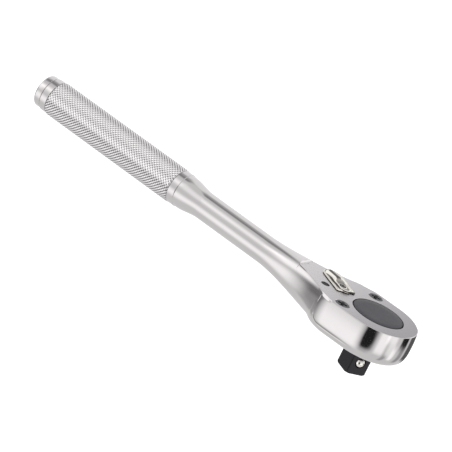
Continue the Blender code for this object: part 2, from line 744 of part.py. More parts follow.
def lever_outline(inset):
    """Plan of the lever's base, drawn in by inset: round hub at the origin, round tail along +X."""
    hub = LEVER_WIDTH / 2 - inset
    tail = LEVER_TAIL_WIDTH / 2 - inset
    centre = LEVER_TAIL - LEVER_TAIL_WIDTH / 2
    start = math.pi / 2 - math.asin((hub - tail) / centre)
    hub_side = arc((0, 0), hub, start, 2 * math.pi - start, SMALL_STEPS)
    return hub_side + arc((centre, 0), tail, -start, start, SMALL_STEPS // 2)


def lever_base(name, bottom):
    """The lever's base, with a softly rounded upper edge."""
    rings = []
    for inset, height in LEVER_EDGE_STATIONS:
        level = bottom + LEVER_BASE * height
        rings.append([(x, y, level) for x, y in lever_outline(LEVER_EDGE * inset)])
    return loft(name, rings)


def ridge_form(name, bottom):
    """The thumb ridge: tall and steep towards the hub, low at the tail, narrower at its crest."""
    foot = bottom + LEVER_BASE / 2
    length = LEVER_TAIL - RIDGE_INSET - RIDGE_START
    rings = []
    for share, fall, narrow in RIDGE_STATIONS:
        x = RIDGE_START + length * share
        rise = RIDGE_HEIGHT + (RIDGE_TAIL_HEIGHT - RIDGE_HEIGHT) * share
        crest = max(rise * fall, LEVER_BASE) - LEVER_BASE / 2
        half = RIDGE_WIDTH / 2 * narrow
        ring = [(x, -half, foot), (x, half, foot)]
        for lean in RIDGE_LEANS:
            ring.append((x, half * RIDGE_TAPER * math.cos(lean), foot + crest * math.sqrt(math.sin(lean))))
        rings.append(ring)
    return loft(name, rings)


def make_lever():
    place = (LEVER_X, 0, 0)
    base_bottom = PLATE_TOP + SEAT_GAP
    base_top = base_bottom + LEVER_BASE
    base = lever_base("reversing_lever", base_bottom)
    lever = add_piece("reversing_lever", base, NICKEL, place, LEVER_REST)
    ridge = ridge_form("thumb_ridge", base_bottom)
    combine(lever, add_cutter("thumb_ridge", ridge, place, LEVER_REST), "UNION")
    dish_bottom = base_top - HUB_DISH_DEPTH
    dish_top = base_top + HUB_DISH_DEPTH
    floor, mouth = HUB_DISH_RADIUS - HUB_DISH_DEPTH, HUB_DISH_RADIUS + HUB_DISH_DEPTH
    dish = cylinder("hub_dish", floor, dish_bottom, dish_top, SMALL_STEPS, mouth)
    rivet_radius = STEM_SQUARE / 2 + RUN_GAP
    rivet_hole = cylinder("rivet_hole", rivet_radius, base_bottom - OVERCUT, base_top, SMALL_STEPS)
    cut(lever, add_cutter("hub_dish", dish, place), add_cutter("rivet_hole", rivet_hole, place))
    make_stem(place, base_bottom, dish_bottom)
    make_cam(place)


def make_stem(place, base_bottom, dish_bottom):
    """The stem: riveted end in the hub, journal in the lid, groove for the clip and a square for the cam."""
    groove = STEM_RADIUS - CLIP_WIDTH / 4
    journal_end = CLIP_BOTTOM - RUN_GAP
    profile = [
        (0, dish_bottom + RUN_GAP),
        (STEM_SQUARE / 2, dish_bottom),
        (STEM_SQUARE / 2, base_bottom - RUN_GAP),
        (STEM_RADIUS, base_bottom - RUN_GAP),
        (STEM_RADIUS, CLIP_TOP + RUN_GAP),
        (groove, CLIP_TOP + RUN_GAP),
        (groove, journal_end),
        (0, journal_end),
    ]
    stem = turned("lever_shaft", profile, lambda n, m: add_piece(n, m, DARK, place), SMALL_STEPS)
    half = STEM_SQUARE / 2
    square_top = journal_end + CLIP_THICKNESS / 2
    square = box("stem_square", (-half, -half, PAWL_BOTTOM), (half, half, square_top))
    combine(stem, add_cutter("stem_square", square, place, LEVER_REST), "UNION")
    ring = [
        (groove + RUN_GAP / 2, CLIP_TOP),
        (STEM_RADIUS + CLIP_WIDTH, CLIP_TOP),
        (STEM_RADIUS + CLIP_WIDTH, CLIP_BOTTOM),
        (groove + RUN_GAP / 2, CLIP_BOTTOM),
    ]
    turned("lever_clip", ring + ring[:1], lambda n, m: add_piece(n, m, DARK, place), SMALL_STEPS)


def make_cam(place):
    """The cam: a hub on the stem's square with a tongue towards the gear, opposite the lever's tail."""
    top = CLIP_BOTTOM - RUN_GAP
    cam = cylinder("selector_cam", CAM_RADIUS, PAWL_BOTTOM, top, ROUND_STEPS // 2)
    cam = add_piece("selector_cam", cam, TOOL, place, LEVER_REST)
    half = CAM_TONGUE_WIDTH / 2
    round_end = arc((half - CAM_TONGUE, 0), half, math.pi / 2, math.pi * 1.5, 8)
    plan = [(0, half), *round_end, (0, -half)]
    tongue = extruded("cam_tongue", plan, PAWL_BOTTOM + RUN_GAP, top - RUN_GAP)
    combine(cam, add_cutter("cam_tongue", tongue, place, LEVER_REST), "UNION")
    side = STEM_SQUARE / 2 + RUN_GAP
    hole = box("cam_hole", (-side, -side, PAWL_BOTTOM - OVERCUT), (side, side, top + OVERCUT))
    cut(cam, add_cutter("cam_hole", hole, place, LEVER_REST))


def lever_ball_x():
    return LEVER_X - CAM_RADIUS - SEAT_GAP - LEVER_BALL_RADIUS


def make_lever_detent():
    x = lever_ball_x()
    place = (x, 0, spring_height())
    add_piece("lever_detent_ball", ball("lever_detent_ball", LEVER_BALL_RADIUS), BRIGHT, place)
    contact = math.sqrt(LEVER_BALL_RADIUS**2 - LEVER_SPRING_RADIUS**2)
    start = (x - contact - LEVER_BALL_TRAVEL - RUN_GAP, 0, spring_height())
    spring = coil("lever_detent_spring", LEVER_SPRING_RADIUS, LEVER_SPRING_LENGTH, start, (-1, 0, 0))
    add_piece("lever_detent_spring", spring, BRIGHT)


# Colour, roughness and metallic value of each finish
CHROME = ((0.78, 0.78, 0.80), 0.18, 1.0)
SATIN = ((0.70, 0.70, 0.72), 0.35, 1.0)
NICKEL = ((0.80, 0.75, 0.64), 0.20, 1.0)
BLACK = ((0.035, 0.035, 0.04), 0.40, 0.6)
DARK = ((0.12, 0.12, 0.13), 0.40, 1.0)
BRIGHT = ((0.82, 0.80, 0.75), 0.12, 1.0)
TOOL = ((0.35, 0.35, 0.36), 0.40, 1.0)

SIDES = {-1: "near", 1: "far"}
LIFTED_SIDE = -1

clear_scene()
pieces = make_collection("reversible_ratchet")
cutters = make_collection("cutters")
cutters.hide_render = True
head_block = add_cutter("head_block", head_form("head_block"))
make_body()
make_plate()
make_screws()
make_drive()
make_pawls()
make_lever()
make_lever_detent()
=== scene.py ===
import math

import bmesh
import bpy
import numpy as np
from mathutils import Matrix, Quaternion, Vector


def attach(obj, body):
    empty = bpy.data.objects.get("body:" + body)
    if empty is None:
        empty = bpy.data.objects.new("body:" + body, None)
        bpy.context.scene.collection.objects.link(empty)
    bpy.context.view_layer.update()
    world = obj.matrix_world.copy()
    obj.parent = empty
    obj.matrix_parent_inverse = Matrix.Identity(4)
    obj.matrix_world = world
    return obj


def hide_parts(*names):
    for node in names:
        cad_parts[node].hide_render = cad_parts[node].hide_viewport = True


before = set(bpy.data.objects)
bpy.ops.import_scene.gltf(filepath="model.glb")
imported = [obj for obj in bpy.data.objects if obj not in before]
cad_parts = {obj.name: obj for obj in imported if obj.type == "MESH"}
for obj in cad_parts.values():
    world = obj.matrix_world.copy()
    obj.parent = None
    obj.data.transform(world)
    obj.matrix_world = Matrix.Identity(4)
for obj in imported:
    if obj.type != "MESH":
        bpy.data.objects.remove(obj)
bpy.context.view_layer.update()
scene = bpy.context.scene
mm = 0.001  # shapes are worked out in millimetres and put into the meshes in metres
weld = 1e-6  # points nearer than this, in metres, become one
search = {"farthest": 40.0, "halvings": 36}  # longest ray to a skin, and how often it is halved
print("frame loaded,", len(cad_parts), "nodes")


# Shared shape tools

def smooth(share):
    # eases from 0 to 1: three times the square less twice the cube of the clipped share
    share = np.clip(share, 0, 1)
    return share * share * (3 - 2 * share)


def ramp(value, start, over):
    # 0 up to a start and eased to 1 over a distance; dictionaries hold these two as a pair
    return smooth((value - start) / over)


def bell(offset, width):
    # 1 in the middle and less on both sides: e to the minus square of the offset in widths
    return np.exp(-((offset / width) ** 2))


def spread(*stops):
    # evenly spaced values through stops of (value, steps to the next stop)
    runs = [np.linspace(a[0], b[0], a[1], endpoint=False) for a, b in zip(stops, stops[1:])]
    return np.concatenate([*runs, [stops[-1][0]]])


def lastInside(isWithin, shape):
    # the distance along each ray at which a test stops being true, found by halving
    low, high = np.zeros(shape), np.full(shape, search["farthest"])
    for _ in range(search["halvings"]):
        middle = (low + high) / 2
        inner = isWithin(middle)
        low, high = np.where(inner, middle, low), np.where(inner, high, middle)
    return low


def circle(steps):
    # evenly spaced angles of a full turn
    return np.arange(steps) * 2 * math.pi / steps


def joined(*values):
    # numbers and arrays, spread to one shape and set side by side along a new last axis
    return np.stack(np.broadcast_arrays(*values), -1)


def outsideBox(overOne, overTwo, radius):
    # distance outside a rectangle with round corners, from the two distances past a corner's middle
    corner = np.hypot(np.clip(overOne, 0, None), np.clip(overTwo, 0, None))
    return corner + np.minimum(np.maximum(overOne, overTwo), 0) - radius


def gridFaces(rows, columns, wrap=False):
    # one quad between each pair of neighbouring rows and columns; wrap joins the last column to the first
    row = np.arange(rows - 1)[:, None] * columns
    column = np.arange(columns if wrap else columns - 1)
    after = (column + 1) % columns
    corners = joined(row + column, row + after, row + columns + after, row + columns + column)
    return corners.reshape(-1, 4)


def makeMesh(name, points, faces):
    # puts arrays into a mesh, closes its seams and poles and turns its faces outwards
    mesh = bpy.data.meshes.new(name)
    mesh.from_pydata((points.reshape(-1, 3) * mm).tolist(), [], faces.tolist())
    form = bmesh.new()
    form.from_mesh(mesh)
    bmesh.ops.remove_doubles(form, verts=form.verts, dist=weld)
    bmesh.ops.dissolve_degenerate(form, edges=form.edges, dist=weld / 10)
    bmesh.ops.recalc_face_normals(form, faces=form.faces)
    form.to_mesh(mesh)
    form.free()
    return mesh


def turned(name, profile, place=(0, 0, 0), along=(0, 0, 1), steps=64):
    # profile points (radius, height) carried round an axis through a place
    radius, height = np.array(profile, float).T[:, :, None]
    angle = circle(steps)
    points = joined(radius * np.cos(angle), radius * np.sin(angle), height)
    turn = np.array(Vector((0, 0, 1)).rotation_difference(Vector(along)).to_matrix())
    return makeMesh(name, points @ turn.T + np.array(place, float), gridFaces(len(radius), steps, True))


def prism(name, outline, bottom, top):
    # a plan outline carried from bottom to top, closed to its middle at both ends
    plan = np.array(outline, float)
    middle = 0 * plan + plan.mean(0)
    rows = [joined(*p.T, z) for p, z in ((middle, bottom), (plan, bottom), (plan, top), (middle, top))]
    return makeMesh(name, np.array(rows), gridFaces(len(rows), len(plan), True))


def easeCorners(points, cut, most=0.45):
    # each inner corner of a profile becomes two points, cut back along its sides by a share of them at most
    p = np.array(points, float)
    before, after = p[:-2] - p[1:-1], p[2:] - p[1:-1]
    back = lambda v: v * np.minimum(cut / np.linalg.norm(v, axis=1), most)[:, None]
    pairs = np.stack([p[1:-1] + back(before), p[1:-1] + back(after)], 1)
    return np.concatenate([p[:1], pairs.reshape(-1, 2), p[-1:]])


def newObject(name, data):
    thing = bpy.data.objects.new(name, data)
    scene.collection.objects.link(thing)
    return thing


def cutAway(mesh, *tools):
    # takes the space of each tool out of a mesh
    stock = newObject("stock", mesh)
    helpers = [newObject("tool", tool) for tool in tools]
    for helper in helpers:
        step = stock.modifiers.new("cut", "BOOLEAN")
        step.operation, step.solver, step.object = "DIFFERENCE", "EXACT", helper
    result = bpy.data.meshes.new_from_object(stock.evaluated_get(bpy.context.evaluated_depsgraph_get()))
    result.name = mesh.name
    for old in [stock, *helpers]:
        bpy.data.objects.remove(old)
    return result


def paint(mesh, name, shade):
    # stores a value for each vertex, worked out from the vertices' places in millimetres
    places = np.empty(len(mesh.vertices) * 3)
    mesh.vertices.foreach_get("co", places)
    values = shade(*(places.reshape(-1, 3).T / mm))
    mesh.attributes.new(name, "FLOAT", "POINT").data.foreach_set("value", values)
    return mesh


def addPiece(name, mesh, body, finish, nodes, sharp=32):
    # a finished piece that moves with its body and stands for the CAD nodes it replaces
    piece = newObject(name, mesh)
    mesh.materials.clear()
    mesh.materials.append(finish)
    mesh.shade_smooth()
    mesh.set_sharp_from_angle(angle=math.radians(sharp))
    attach(piece, body)
    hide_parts(*nodes)
    return piece


# Finishes

class Flow:
    # a socket in the tree that is being filled; an expression on flows adds Math nodes
    tree = None

    def __init__(self, socket):
        self.socket = socket

    @classmethod
    def make(cls, kind, settings=None, sockets=None, out=0):
        # a shader node of a kind, its settings first, then the values or links of its sockets
        node = cls.tree.nodes.new("ShaderNode" + kind)
        for key, value in (settings or {}).items():
            setattr(node, key, value)
        for key, value in (sockets or {}).items():
            if isinstance(value, Flow):
                cls.tree.links.new(value.socket, node.inputs[key])
            else:
                node.inputs[key].default_value = value
        return cls(node.outputs[out]) if node.outputs else node

    @classmethod
    def maths(cls, operation, *terms):
        return cls.make("Math", {"operation": operation}, dict(enumerate(terms)))

    __add__ = __radd__ = lambda self, other: Flow.maths("ADD", self, other)
    __mul__ = __rmul__ = lambda self, other: Flow.maths("MULTIPLY", self, other)
    __sub__ = lambda self, other: Flow.maths("SUBTRACT", self, other)
    __rsub__ = lambda self, other: Flow.maths("SUBTRACT", other, self)


def measure(operation, *vectors):
    # a number from vectors, such as a length or a dot product
    settings = {"operation": operation}
    return Flow.make("VectorMath", settings, dict(enumerate(vectors)), out="Value")


def scaled(place, scale):
    return Flow.make("Mapping", {}, {"Vector": place, "Scale": scale})


def between(value, low, high):
    # 0 below low and 1 above high, eased between them
    settings = {"interpolation_type": "SMOOTHSTEP"}
    return Flow.make("MapRange", settings, {"Value": value, "From Min": low, "From Max": high})


def past(value, low, high):
    # the same for a place, with low and high in millimetres
    return between(value, low * mm, high * mm)


def noise(place, scale, detail=3.0, stretch=None):
    if stretch:
        place = scaled(place, stretch)
    sockets = {"Vector": place, "Scale": scale, "Detail": detail, "Roughness": 0.6}
    return Flow.make("TexNoise", {}, sockets)


def mixColour(factor, first, second):
    # the Mix node's colours are its inputs 6 and 7 and its output 2
    ends = [end if isinstance(end, Flow) else (*end, 1) for end in (first, second)]
    sockets = {"Factor": factor, 6: ends[0], 7: ends[1]}
    return Flow.make("Mix", {"data_type": "RGBA"}, sockets, out=2)


def axisOf(place, name):
    return Flow.make("SeparateXYZ", {}, {"Vector": place}, out=name)


def painted(name):
    return Flow.make("Attribute", {"attribute_name": name}, out="Fac")


def startTree(owner):
    owner.use_nodes = True
    Flow.tree = owner.node_tree
    Flow.tree.nodes.clear()


def startFinish(name):
    finish = bpy.data.materials.new(name)
    startTree(finish)
    return finish, Flow.make("TexCoord", out="Object")


def closeFinish(**sockets):
    names = {key: key[0].upper() + key[1:] for key in sockets}
    names.update(baseColour="Base Color", specular="Specular IOR Level")
    shader = Flow.make("BsdfPrincipled", {}, {names[k]: v for k, v in sockets.items()})
    Flow.make("OutputMaterial", {}, {"Surface": shader})


def bump(height, depth, strength):
    # relief of a depth in millimetres
    return Flow.make("Bump", {}, {"Height": height, "Distance": depth * mm, "Strength": strength})


# the last colour on the next line is the painted shade of the pressed line
chromeLook = {
    "bright": (0.672, 0.648, 0.652), "shade": (0.632, 0.607, 0.612), "creaseShade": (0.09, 0.085, 0.085),
    "polish": 0.055, "neckHaze": 0.025, "haze": (-34, -16), "smudgeScale": 70, "smudgeRough": 0.03,
    "hairScale": 2600, "hairStretch": (0.06, 1, 1), "hairRough": 0.02, "bump": (0.003, 0.4),
}


def chromeGloss(place):
    # colour, roughness and hairlines of polished plating: soft smudges, a little haze towards the handle
    c = chromeLook
    smudge = noise(place, c["smudgeScale"], detail=4)
    hair = noise(place, c["hairScale"], detail=2, stretch=c["hairStretch"])
    haze = 1 - past(axisOf(place, "X"), *c["haze"])
    rough = c["polish"] + c["neckHaze"] * haze + c["smudgeRough"] * smudge + c["hairRough"] * hair
    return mixColour(smudge, c["shade"], c["bright"]), rough, hair


def chromeFinish():
    # polished plating, darkened by painted shade where the mesh is painted for it in the pressed line
    finish, place = startFinish("polishedChrome")
    colour, rough, hair = chromeGloss(place)
    colour = mixColour(painted("creaseShade"), colour, chromeLook["creaseShade"])
    closeFinish(baseColour=colour, metallic=1.0, roughness=rough, normal=bump(hair, *chromeLook["bump"]))
    return finish


# the two darker colours on the next line are painted shade in the cuts and where two cuts cross
knurlLook = {
    "crest": (0.95, 0.925, 0.935), "cutShade": (0.16, 0.155, 0.16), "pitShade": (0.012,) * 3, "gloss": 0.2,
    "cutRough": 0.12, "wearScale": 900, "wearRough": 0.08,
}


def knurlFinish():
    # plating over the knurl with painted shade: greyer in the cuts and dark where two cuts cross
    finish, place = startFinish("knurledChrome")
    # the cut attribute holds the painted shade of the cuts
    k, cut = knurlLook, painted("cut")
    colour = mixColour(painted("pitShade"), mixColour(cut, k["crest"], k["cutShade"]), k["pitShade"])
    rough = k["gloss"] + k["cutRough"] * cut + k["wearRough"] * noise(place, k["wearScale"])
    closeFinish(baseColour=colour, metallic=1.0, roughness=rough)
    return finish


# the nose colour is painted shade that darkens the brushed face towards the nose
satinLook = {
    "dark": (0.595, 0.572, 0.588), "pale": (0.615, 0.592, 0.608), "nose": (0.31, 0.295, 0.314),
    # the first colour on the next line is the painted shade along the lid's upper edge
    "seamShade": (0.02,) * 3, "gloss": 0.27, "faceFrom": 0.2, "faceTo": 0.02, "towards": (-46, 26),
    "grainScale": 5200, "grainStretch": (0.12, 1, 1), "grainRough": 0.06, "bump": (0.003, 0.2),
    "cloudScale": 160, "cloudRough": 0.05,
}


def satinFinish():
    # satin with short grain on the lid's face, darkened towards the nose by painted shade; its side is
    # polished, and painted shade darkens its seam
    finish, place = startFinish("satinLid")
    s, top = satinLook, head["top"]
    plated, rough, _ = chromeGloss(place)
    face = past(axisOf(place, "Z"), top - s["faceFrom"], top - s["faceTo"])
    grain = noise(place, s["grainScale"], stretch=s["grainStretch"])
    satin = s["gloss"] + s["cloudRough"] * noise(place, s["cloudScale"]) + s["grainRough"] * grain
    # painted shade: the brushed face darkens towards the nose
    towards = past(axisOf(place, "X"), *s["towards"])
    brushed = mixColour(towards, mixColour(grain, s["dark"], s["pale"]), s["nose"])
    colour = mixColour(painted("seamShade"), mixColour(face, plated, brushed), s["seamShade"])
    closeFinish(baseColour=colour, metallic=1.0, roughness=rough + (satin - rough) * face,
                normal=bump(grain * face, *s["bump"]))
    return finish


# low, corner and rim are colours of painted shade
oxideLook = {
    "dark": (0.006, 0.0052, 0.011), "pale": (0.013, 0.0112, 0.023), "low": (0.004,) * 3, "square": 0.4,
    "lowOver": 1, "corner": (0.0005,) * 3, "cornerReach": (6.2, 6.5), "rim": (0.002,) * 3,
    "rimRough": 0.3, "specular": 0.34, "gloss": 0.33, "speckScale": 2600, "bump": (0.01, 0.4),
    "cloudScale": 220, "cloudRough": 0.1,
}


def oxideFinish():
    # blackened steel: fine speckle, with painted shade that darkens the square below the head and blackens
    # its corners and the disc's chamfer
    finish, place = startFinish("blackOxide")
    o, bottom, chamferStart = oxideLook, head["bottom"], drive["disc"] - drive["discEase"]
    speck = noise(place, o["speckScale"], detail=5)
    reach = measure("LENGTH", scaled(place, (1, 1, 0)))
    # painted shade: rim blackens the disc's chamfer, low darkens the square below the head, corner blackens
    # the square's corners
    rim = past(reach, chamferStart, chamferStart + drive["discEase"] / 2)
    low = 1 - past(axisOf(place, "Z"), bottom, bottom + o["lowOver"])
    corner = low * past(reach, *o["cornerReach"])
    colour = mixColour(speck, o["dark"], o["pale"])
    for share, shade in ((low * o["square"], "low"), (corner, "corner"), (rim, "rim")):
        colour = mixColour(share, colour, o[shade])
    rough = o["gloss"] + o["cloudRough"] * noise(place, o["cloudScale"]) + o["rimRough"] * rim
    closeFinish(baseColour=colour, metallic=0.0, specular=o["specular"], roughness=rough,
                normal=bump(speck, *o["bump"]))
    return finish


steelLook = {"grainScale": 3000, "bump": (0.004, 0.4), "cloudScale": 300, "cloudRough": 0.08}


def steelFinish(name, dark, pale, gloss, stretch=None, sunk=None):
    # plain or ground steel: grain that may run one way; where painted shade is stored as sunk, in hollows and
    # other shaded places, it takes another colour
    finish, place = startFinish(name)
    s = steelLook
    grain = noise(place, s["grainScale"], stretch=stretch)
    colour = mixColour(grain, dark, pale)
    if sunk:
        colour = mixColour(painted("sunk"), colour, sunk)
    rough = gloss + s["cloudRough"] * noise(place, s["cloudScale"])
    closeFinish(baseColour=colour, metallic=1.0, roughness=rough, normal=bump(grain, *s["bump"]))
    return finish


# Forging: head, neck and handle as one skin

head = {
    "bottom": 12.2, "top": 27.7, "belly": 18.9, "bellyHeight": 20.5, "taper": 0.42, "underCut": 5.0,
    "underPower": 3.0, "stretch": 11.0, "bevel": 0.3, "rim": 25.04, "lidUnder": 25.042, "lidRear": 39.7,
    "stepRadius": 1.3, "stepLip": 0.02,
}
# the barrel stands a little proud of the flare behind it, and a line is pressed along its lower edge
crease = {
    "rear": -20.1, "middle": 21.05, "halfHigh": 5.65, "round": 4.6, "step": 0.05, "stepIn": (-0.9, 1.8),
    "stepOut": (0.7, 6.0), "stepEnd": (-18.5, 3.5), "deep": 0.24, "wide": 0.36, "low": (2.5, 1.8),
    "fade": (-8.0, 13.0), "ledge": 0.42, "ledgeUp": (26.3, 1.1), "ledgeRear": (-20.5, 2.5),
    # the next line also sets the painted shade in the pressed line: how dark it is, how far out to the side
    # it starts, and its top
    "ledgeEnd": (-16.5, 3.5), "sideFrom": 8.0, "creaseShade": 0.75, "creaseShadeFrom": 12.0, "belowRim": 0.01,
}
neck = {
    "axis": 21.1, "tilt": math.radians(0.4), "slim": 6.2, "start": -60.0, "length": 40.0, "wide": 16.6,
    "widePower": 2.5, "crownRise": 3.3, "crownPower": 1.5, "fullShare": 0.8, "flatGain": 3.0,
    "flatPower": 1.2, "squareGain": 2.0, "squarePower": 2.5,
}


def axisHeight(x):
    # the handle's axis rises a little towards the butt
    return neck["axis"] - x * math.tan(neck["tilt"])


def creaseDepth(x, z):
    # outside an upright rectangle with round corners the skin steps in and comes out again slowly; low down a
    # bell-shaped dip follows the rectangle and fades towards the nose; a ledge lies above its upper corner
    c = crease
    overBack = c["rear"] + c["round"] - x
    overHigh = np.abs(z - c["middle"]) - c["halfHigh"] + c["round"]
    away = outsideBox(overBack, overHigh, c["round"])
    low = ramp(c["middle"] - z, *c["low"])
    step = ramp(away, *c["stepIn"]) * (1 - ramp(away, *c["stepOut"]))
    step = step * (1 - low) * (1 - ramp(x, *c["stepEnd"]))
    dip = bell(away, c["wide"]) * low * (1 - ramp(x, *c["fade"]))
    ledge = ramp(z, *c["ledgeUp"]) * ramp(x, *c["ledgeRear"]) * (1 - ramp(x, *c["ledgeEnd"]))
    return c["step"] * step + c["deep"] * dip + c["ledge"] * ledge, dip


def headReach(z):
    # radius of the head at a height: a parabola above the belly, a superellipse below it, a small upper bevel
    h, bevelLow = head, head["top"] - head["bevel"]
    up = np.clip((z - h["bellyHeight"]) / (bevelLow - h["bellyHeight"]), 0, 1)
    down = np.clip((h["bellyHeight"] - z) / (h["bellyHeight"] - h["bottom"]), 0, 1)
    lower = h["underCut"] * (1 - (1 - down ** h["underPower"]) ** (1 / h["underPower"]))
    return h["belly"] - h["taper"] * up**2 - lower - np.clip(z - bevelLow, 0, None)


def neckExcess(x, y, z):
    # a rounded section that grows wide, flat on top and squarer towards the head: the powers of the shares
    # across and up, which are 2 for a circle, add to 1 on the skin
    n, axis = neck, axisHeight(x)
    share = np.clip((x - n["start"]) / n["length"], 0, 1)
    pressed = creaseDepth(x, z)[0] * (share > n["fullShare"])
    half = n["slim"] + (n["wide"] - n["slim"]) * share ** n["widePower"] - pressed
    above = n["slim"] + n["crownRise"] * share ** n["crownPower"]
    below = n["slim"] + (axis - head["bottom"] - n["slim"]) * smooth(share / n["fullShare"])
    flatness = 2 + n["flatGain"] * share ** n["flatPower"]
    squareness = 2 + n["squareGain"] * share ** n["squarePower"]
    rise = (z - axis) / np.where(z > axis, above, below)
    return (np.abs(y) / half) ** flatness + np.abs(rise) ** squareness - 1


def stepCeiling(x):
    # the hollow run-out behind the lid: a quarter circle that rises from the lid's level
    radius, behind = head["stepRadius"], np.clip(-head["lidRear"] - x, 0, None)
    drop = np.sqrt(np.clip(radius**2 - behind**2, 0, None))
    return np.where(behind < radius, head["top"] + radius - drop, np.inf)


def isInside(p):
    # within the head's radius about its middle line, or within the neck's section and under the run-out
    x, y, z = p[..., 0], p[..., 1], p[..., 2]
    plan = np.hypot(x - np.clip(x, -head["stretch"], 0), y)
    reach = headReach(z) - creaseDepth(x, z)[0] * (np.abs(y) > crease["sideFrom"])
    inHead = (plan < reach) & (z > head["bottom"])
    return inHead | ((neckExcess(x, y, z) < 0) & (z < stepCeiling(x)) & (x < -head["stretch"]))


def reachAlong(start, direction):
    # distance from start to the skin along a direction
    isWithin = lambda far: isInside(start + direction * far[..., None])
    return lastInside(isWithin, direction.shape[:-1])


handle = {
    "buttEnd": -191.5, "butt": 7.6, "buttRound": 0.9, "groove": (-188.05, -188.0, -187.7, -187.62),
    "grooveRadius": 7.0, "band": 7.9, "core": 7.2, "gripStart": -184.0, "gripEnd": -111.0, "rearGap": 0.25,
    "frontGap": 0.05, "wall": 0.1, "bandEnd": -107.5, "stepEnd": -107.2, "stepRadius": 7.66, "shoulder": 7.65,
    "shoulderStart": -106.125, "shoulderEnd": -95.125, "plainStart": -94.0, "ease": 0.08,
    "rings": 24, "buttRings": 6,
}


def handleProfile():
    # (x, radius) along the turned handle: butt, groove, bands beside the grip's slimmer core, and a shoulder
    h = handle
    arc = np.linspace(0, math.pi / 2, h["buttRings"])
    buttEdge = joined(h["buttEnd"] + h["buttRound"] * (1 - np.cos(arc)),
                      h["butt"] - h["buttRound"] * (1 - np.sin(arc)))
    grooveRadii = (h["butt"], h["grooveRadius"], h["grooveRadius"], h["band"])
    rear, front = h["gripStart"] - h["rearGap"], h["gripEnd"] + h["frontGap"]
    turnedPart = easeCorners([
        buttEdge[-1], *zip(h["groove"], grooveRadii),
        (rear, h["band"]), (rear + h["wall"], h["core"]), (front - h["wall"], h["core"]), (front, h["band"]),
        (h["bandEnd"], h["band"]), (h["bandEnd"] + h["wall"], h["stepRadius"]),
        (h["stepEnd"], h["stepRadius"]), (h["shoulderStart"], h["shoulder"]),
    ], h["ease"])
    x = np.linspace(h["shoulderStart"], h["shoulderEnd"], h["rings"])
    share = ramp(x, x[0], x[-1] - x[0])
    shoulder = joined(x, h["shoulder"] + (neck["slim"] - h["shoulder"]) * share)
    plainX = np.linspace(h["plainStart"], neck["start"], h["rings"], endpoint=False)
    plain = joined(plainX, neck["slim"])
    return np.concatenate([[[h["buttEnd"], 0]], buttEdge, turnedPart[1:], shoulder[1:], plain])


# numbers of steps along the skin and up it; they are finer by the lid's step and the crease
grid = {
    "neck": 26, "stepZone": 1.5, "step": 14, "flare": 34, "fineRear": -22.0, "fine": 84, "fineFront": -14.0,
    "barrel": 32, "nose": 52, "lowAngle": math.radians(-33), "rows": (22, 72, 12, 14),
}


def skinStations():
    # places along the near side: neck, flare and barrel by x, then round the nose by angle
    g, rear = grid, -head["lidRear"]
    x = spread((neck["start"], g["neck"]), (rear - g["stepZone"], g["step"]), (rear, 1))
    front = spread((rear, g["flare"]), (g["fineRear"], g["fine"]), (g["fineFront"], g["barrel"]), (0.0, 1))
    fan = np.linspace(-90, 0, g["nose"])[1:]
    allX = np.concatenate([x, front, 0 * fan])
    turn = np.radians(np.concatenate([np.full(len(x) + len(front), -90.0), fan]))
    return allX, turn, len(x)


def bothSides(near):
    # the near half followed by its mirror image, which runs back from the nose
    return np.concatenate([near, near[-2::-1] * np.array([1, -1, 1])])


def forgingMesh():
    # rays leave the axis at each station, from straight down to straight up, and stop at the skin;
    # ahead of the step the upper rays give way to the flat floor under the lid
    x, turn, openFrom = skinStations()
    start = joined(x, 0, axisHeight(x))
    ahead = joined(np.cos(turn), np.sin(turn), 0)
    angleAt = lambda level: np.arctan2(level - start[:, 2], reachAlong(joined(x, 0, level), ahead))
    lip = np.clip(stepCeiling(x), head["top"], head["top"] + head["stepLip"])
    up = np.full(len(x), math.pi / 2)
    stops = [-up, 0 * up + grid["lowAngle"], angleAt(head["rim"]), angleAt(lip), up]
    counts = grid["rows"]
    parts = [a[:, None] + (b - a)[:, None] * np.arange(n) / n for a, b, n in zip(stops, stops[1:], counts)]
    tilt = np.concatenate([*parts, up[:, None]], 1)
    direction = joined(np.cos(tilt) * ahead[:, :1], np.cos(tilt) * ahead[:, 1:2], np.sin(tilt))
    skin = start[:, None] + direction * reachAlong(start[:, None], direction)[..., None]
    rimColumn = counts[0] + counts[1]
    inward = np.linspace(1, 0, tilt.shape[1] - rimColumn)[None, :, None]
    floorEdge = skin[openFrom:, rimColumn:rimColumn + 1]
    floorMiddle = joined(x, 0, head["rim"])[openFrom:, None]
    skin[openFrom:, rimColumn:] = floorMiddle + (floorEdge - floorMiddle) * inward
    shaftX, radius = handleProfile().T
    rings = joined(0, -np.cos(tilt[0]), np.sin(tilt[0]))
    centre = joined(shaftX, 0, axisHeight(shaftX))
    shaft = centre[:, None] + radius[:, None, None] * rings
    points = bothSides(np.concatenate([shaft, skin]))
    return makeMesh("forged_body", points, gridFaces(*points.shape[:2]))


# places and radii of the hollows, and how far a tool stands past the metal or overlaps the next one
wells = {
    "gear": 13.9, "floor": 14.5, "journal": 8.7,
    "pawls": [(-25.0, 10.6), (-11.96, 12.44), (-10.0, 11.78), (0, 6.75)],  # far half of the outline
    "pin": (-24.7, 7.0), "pinRadius": 1.95, "pinFloor": 13.3, "boss": 3.6, "screw": (-10.447, 13.915),
    "screwRadius": 1.7, "screwFloor": 16.9, "lever": -20.2, "springRadius": 1.55, "springEnd": 14.67,
    "springLength": 7.0, "ballRadius": 1.4, "ballEnd": -35.5, "ballFront": -21.0, "middle": 19.4, "past": 4.0,
    "overlap": 2.0,
}


def onSide(place, side):
    # a place (x, y) on the near side, which is -1, or on the far side, which is 1
    return place[0], side * place[1], 0


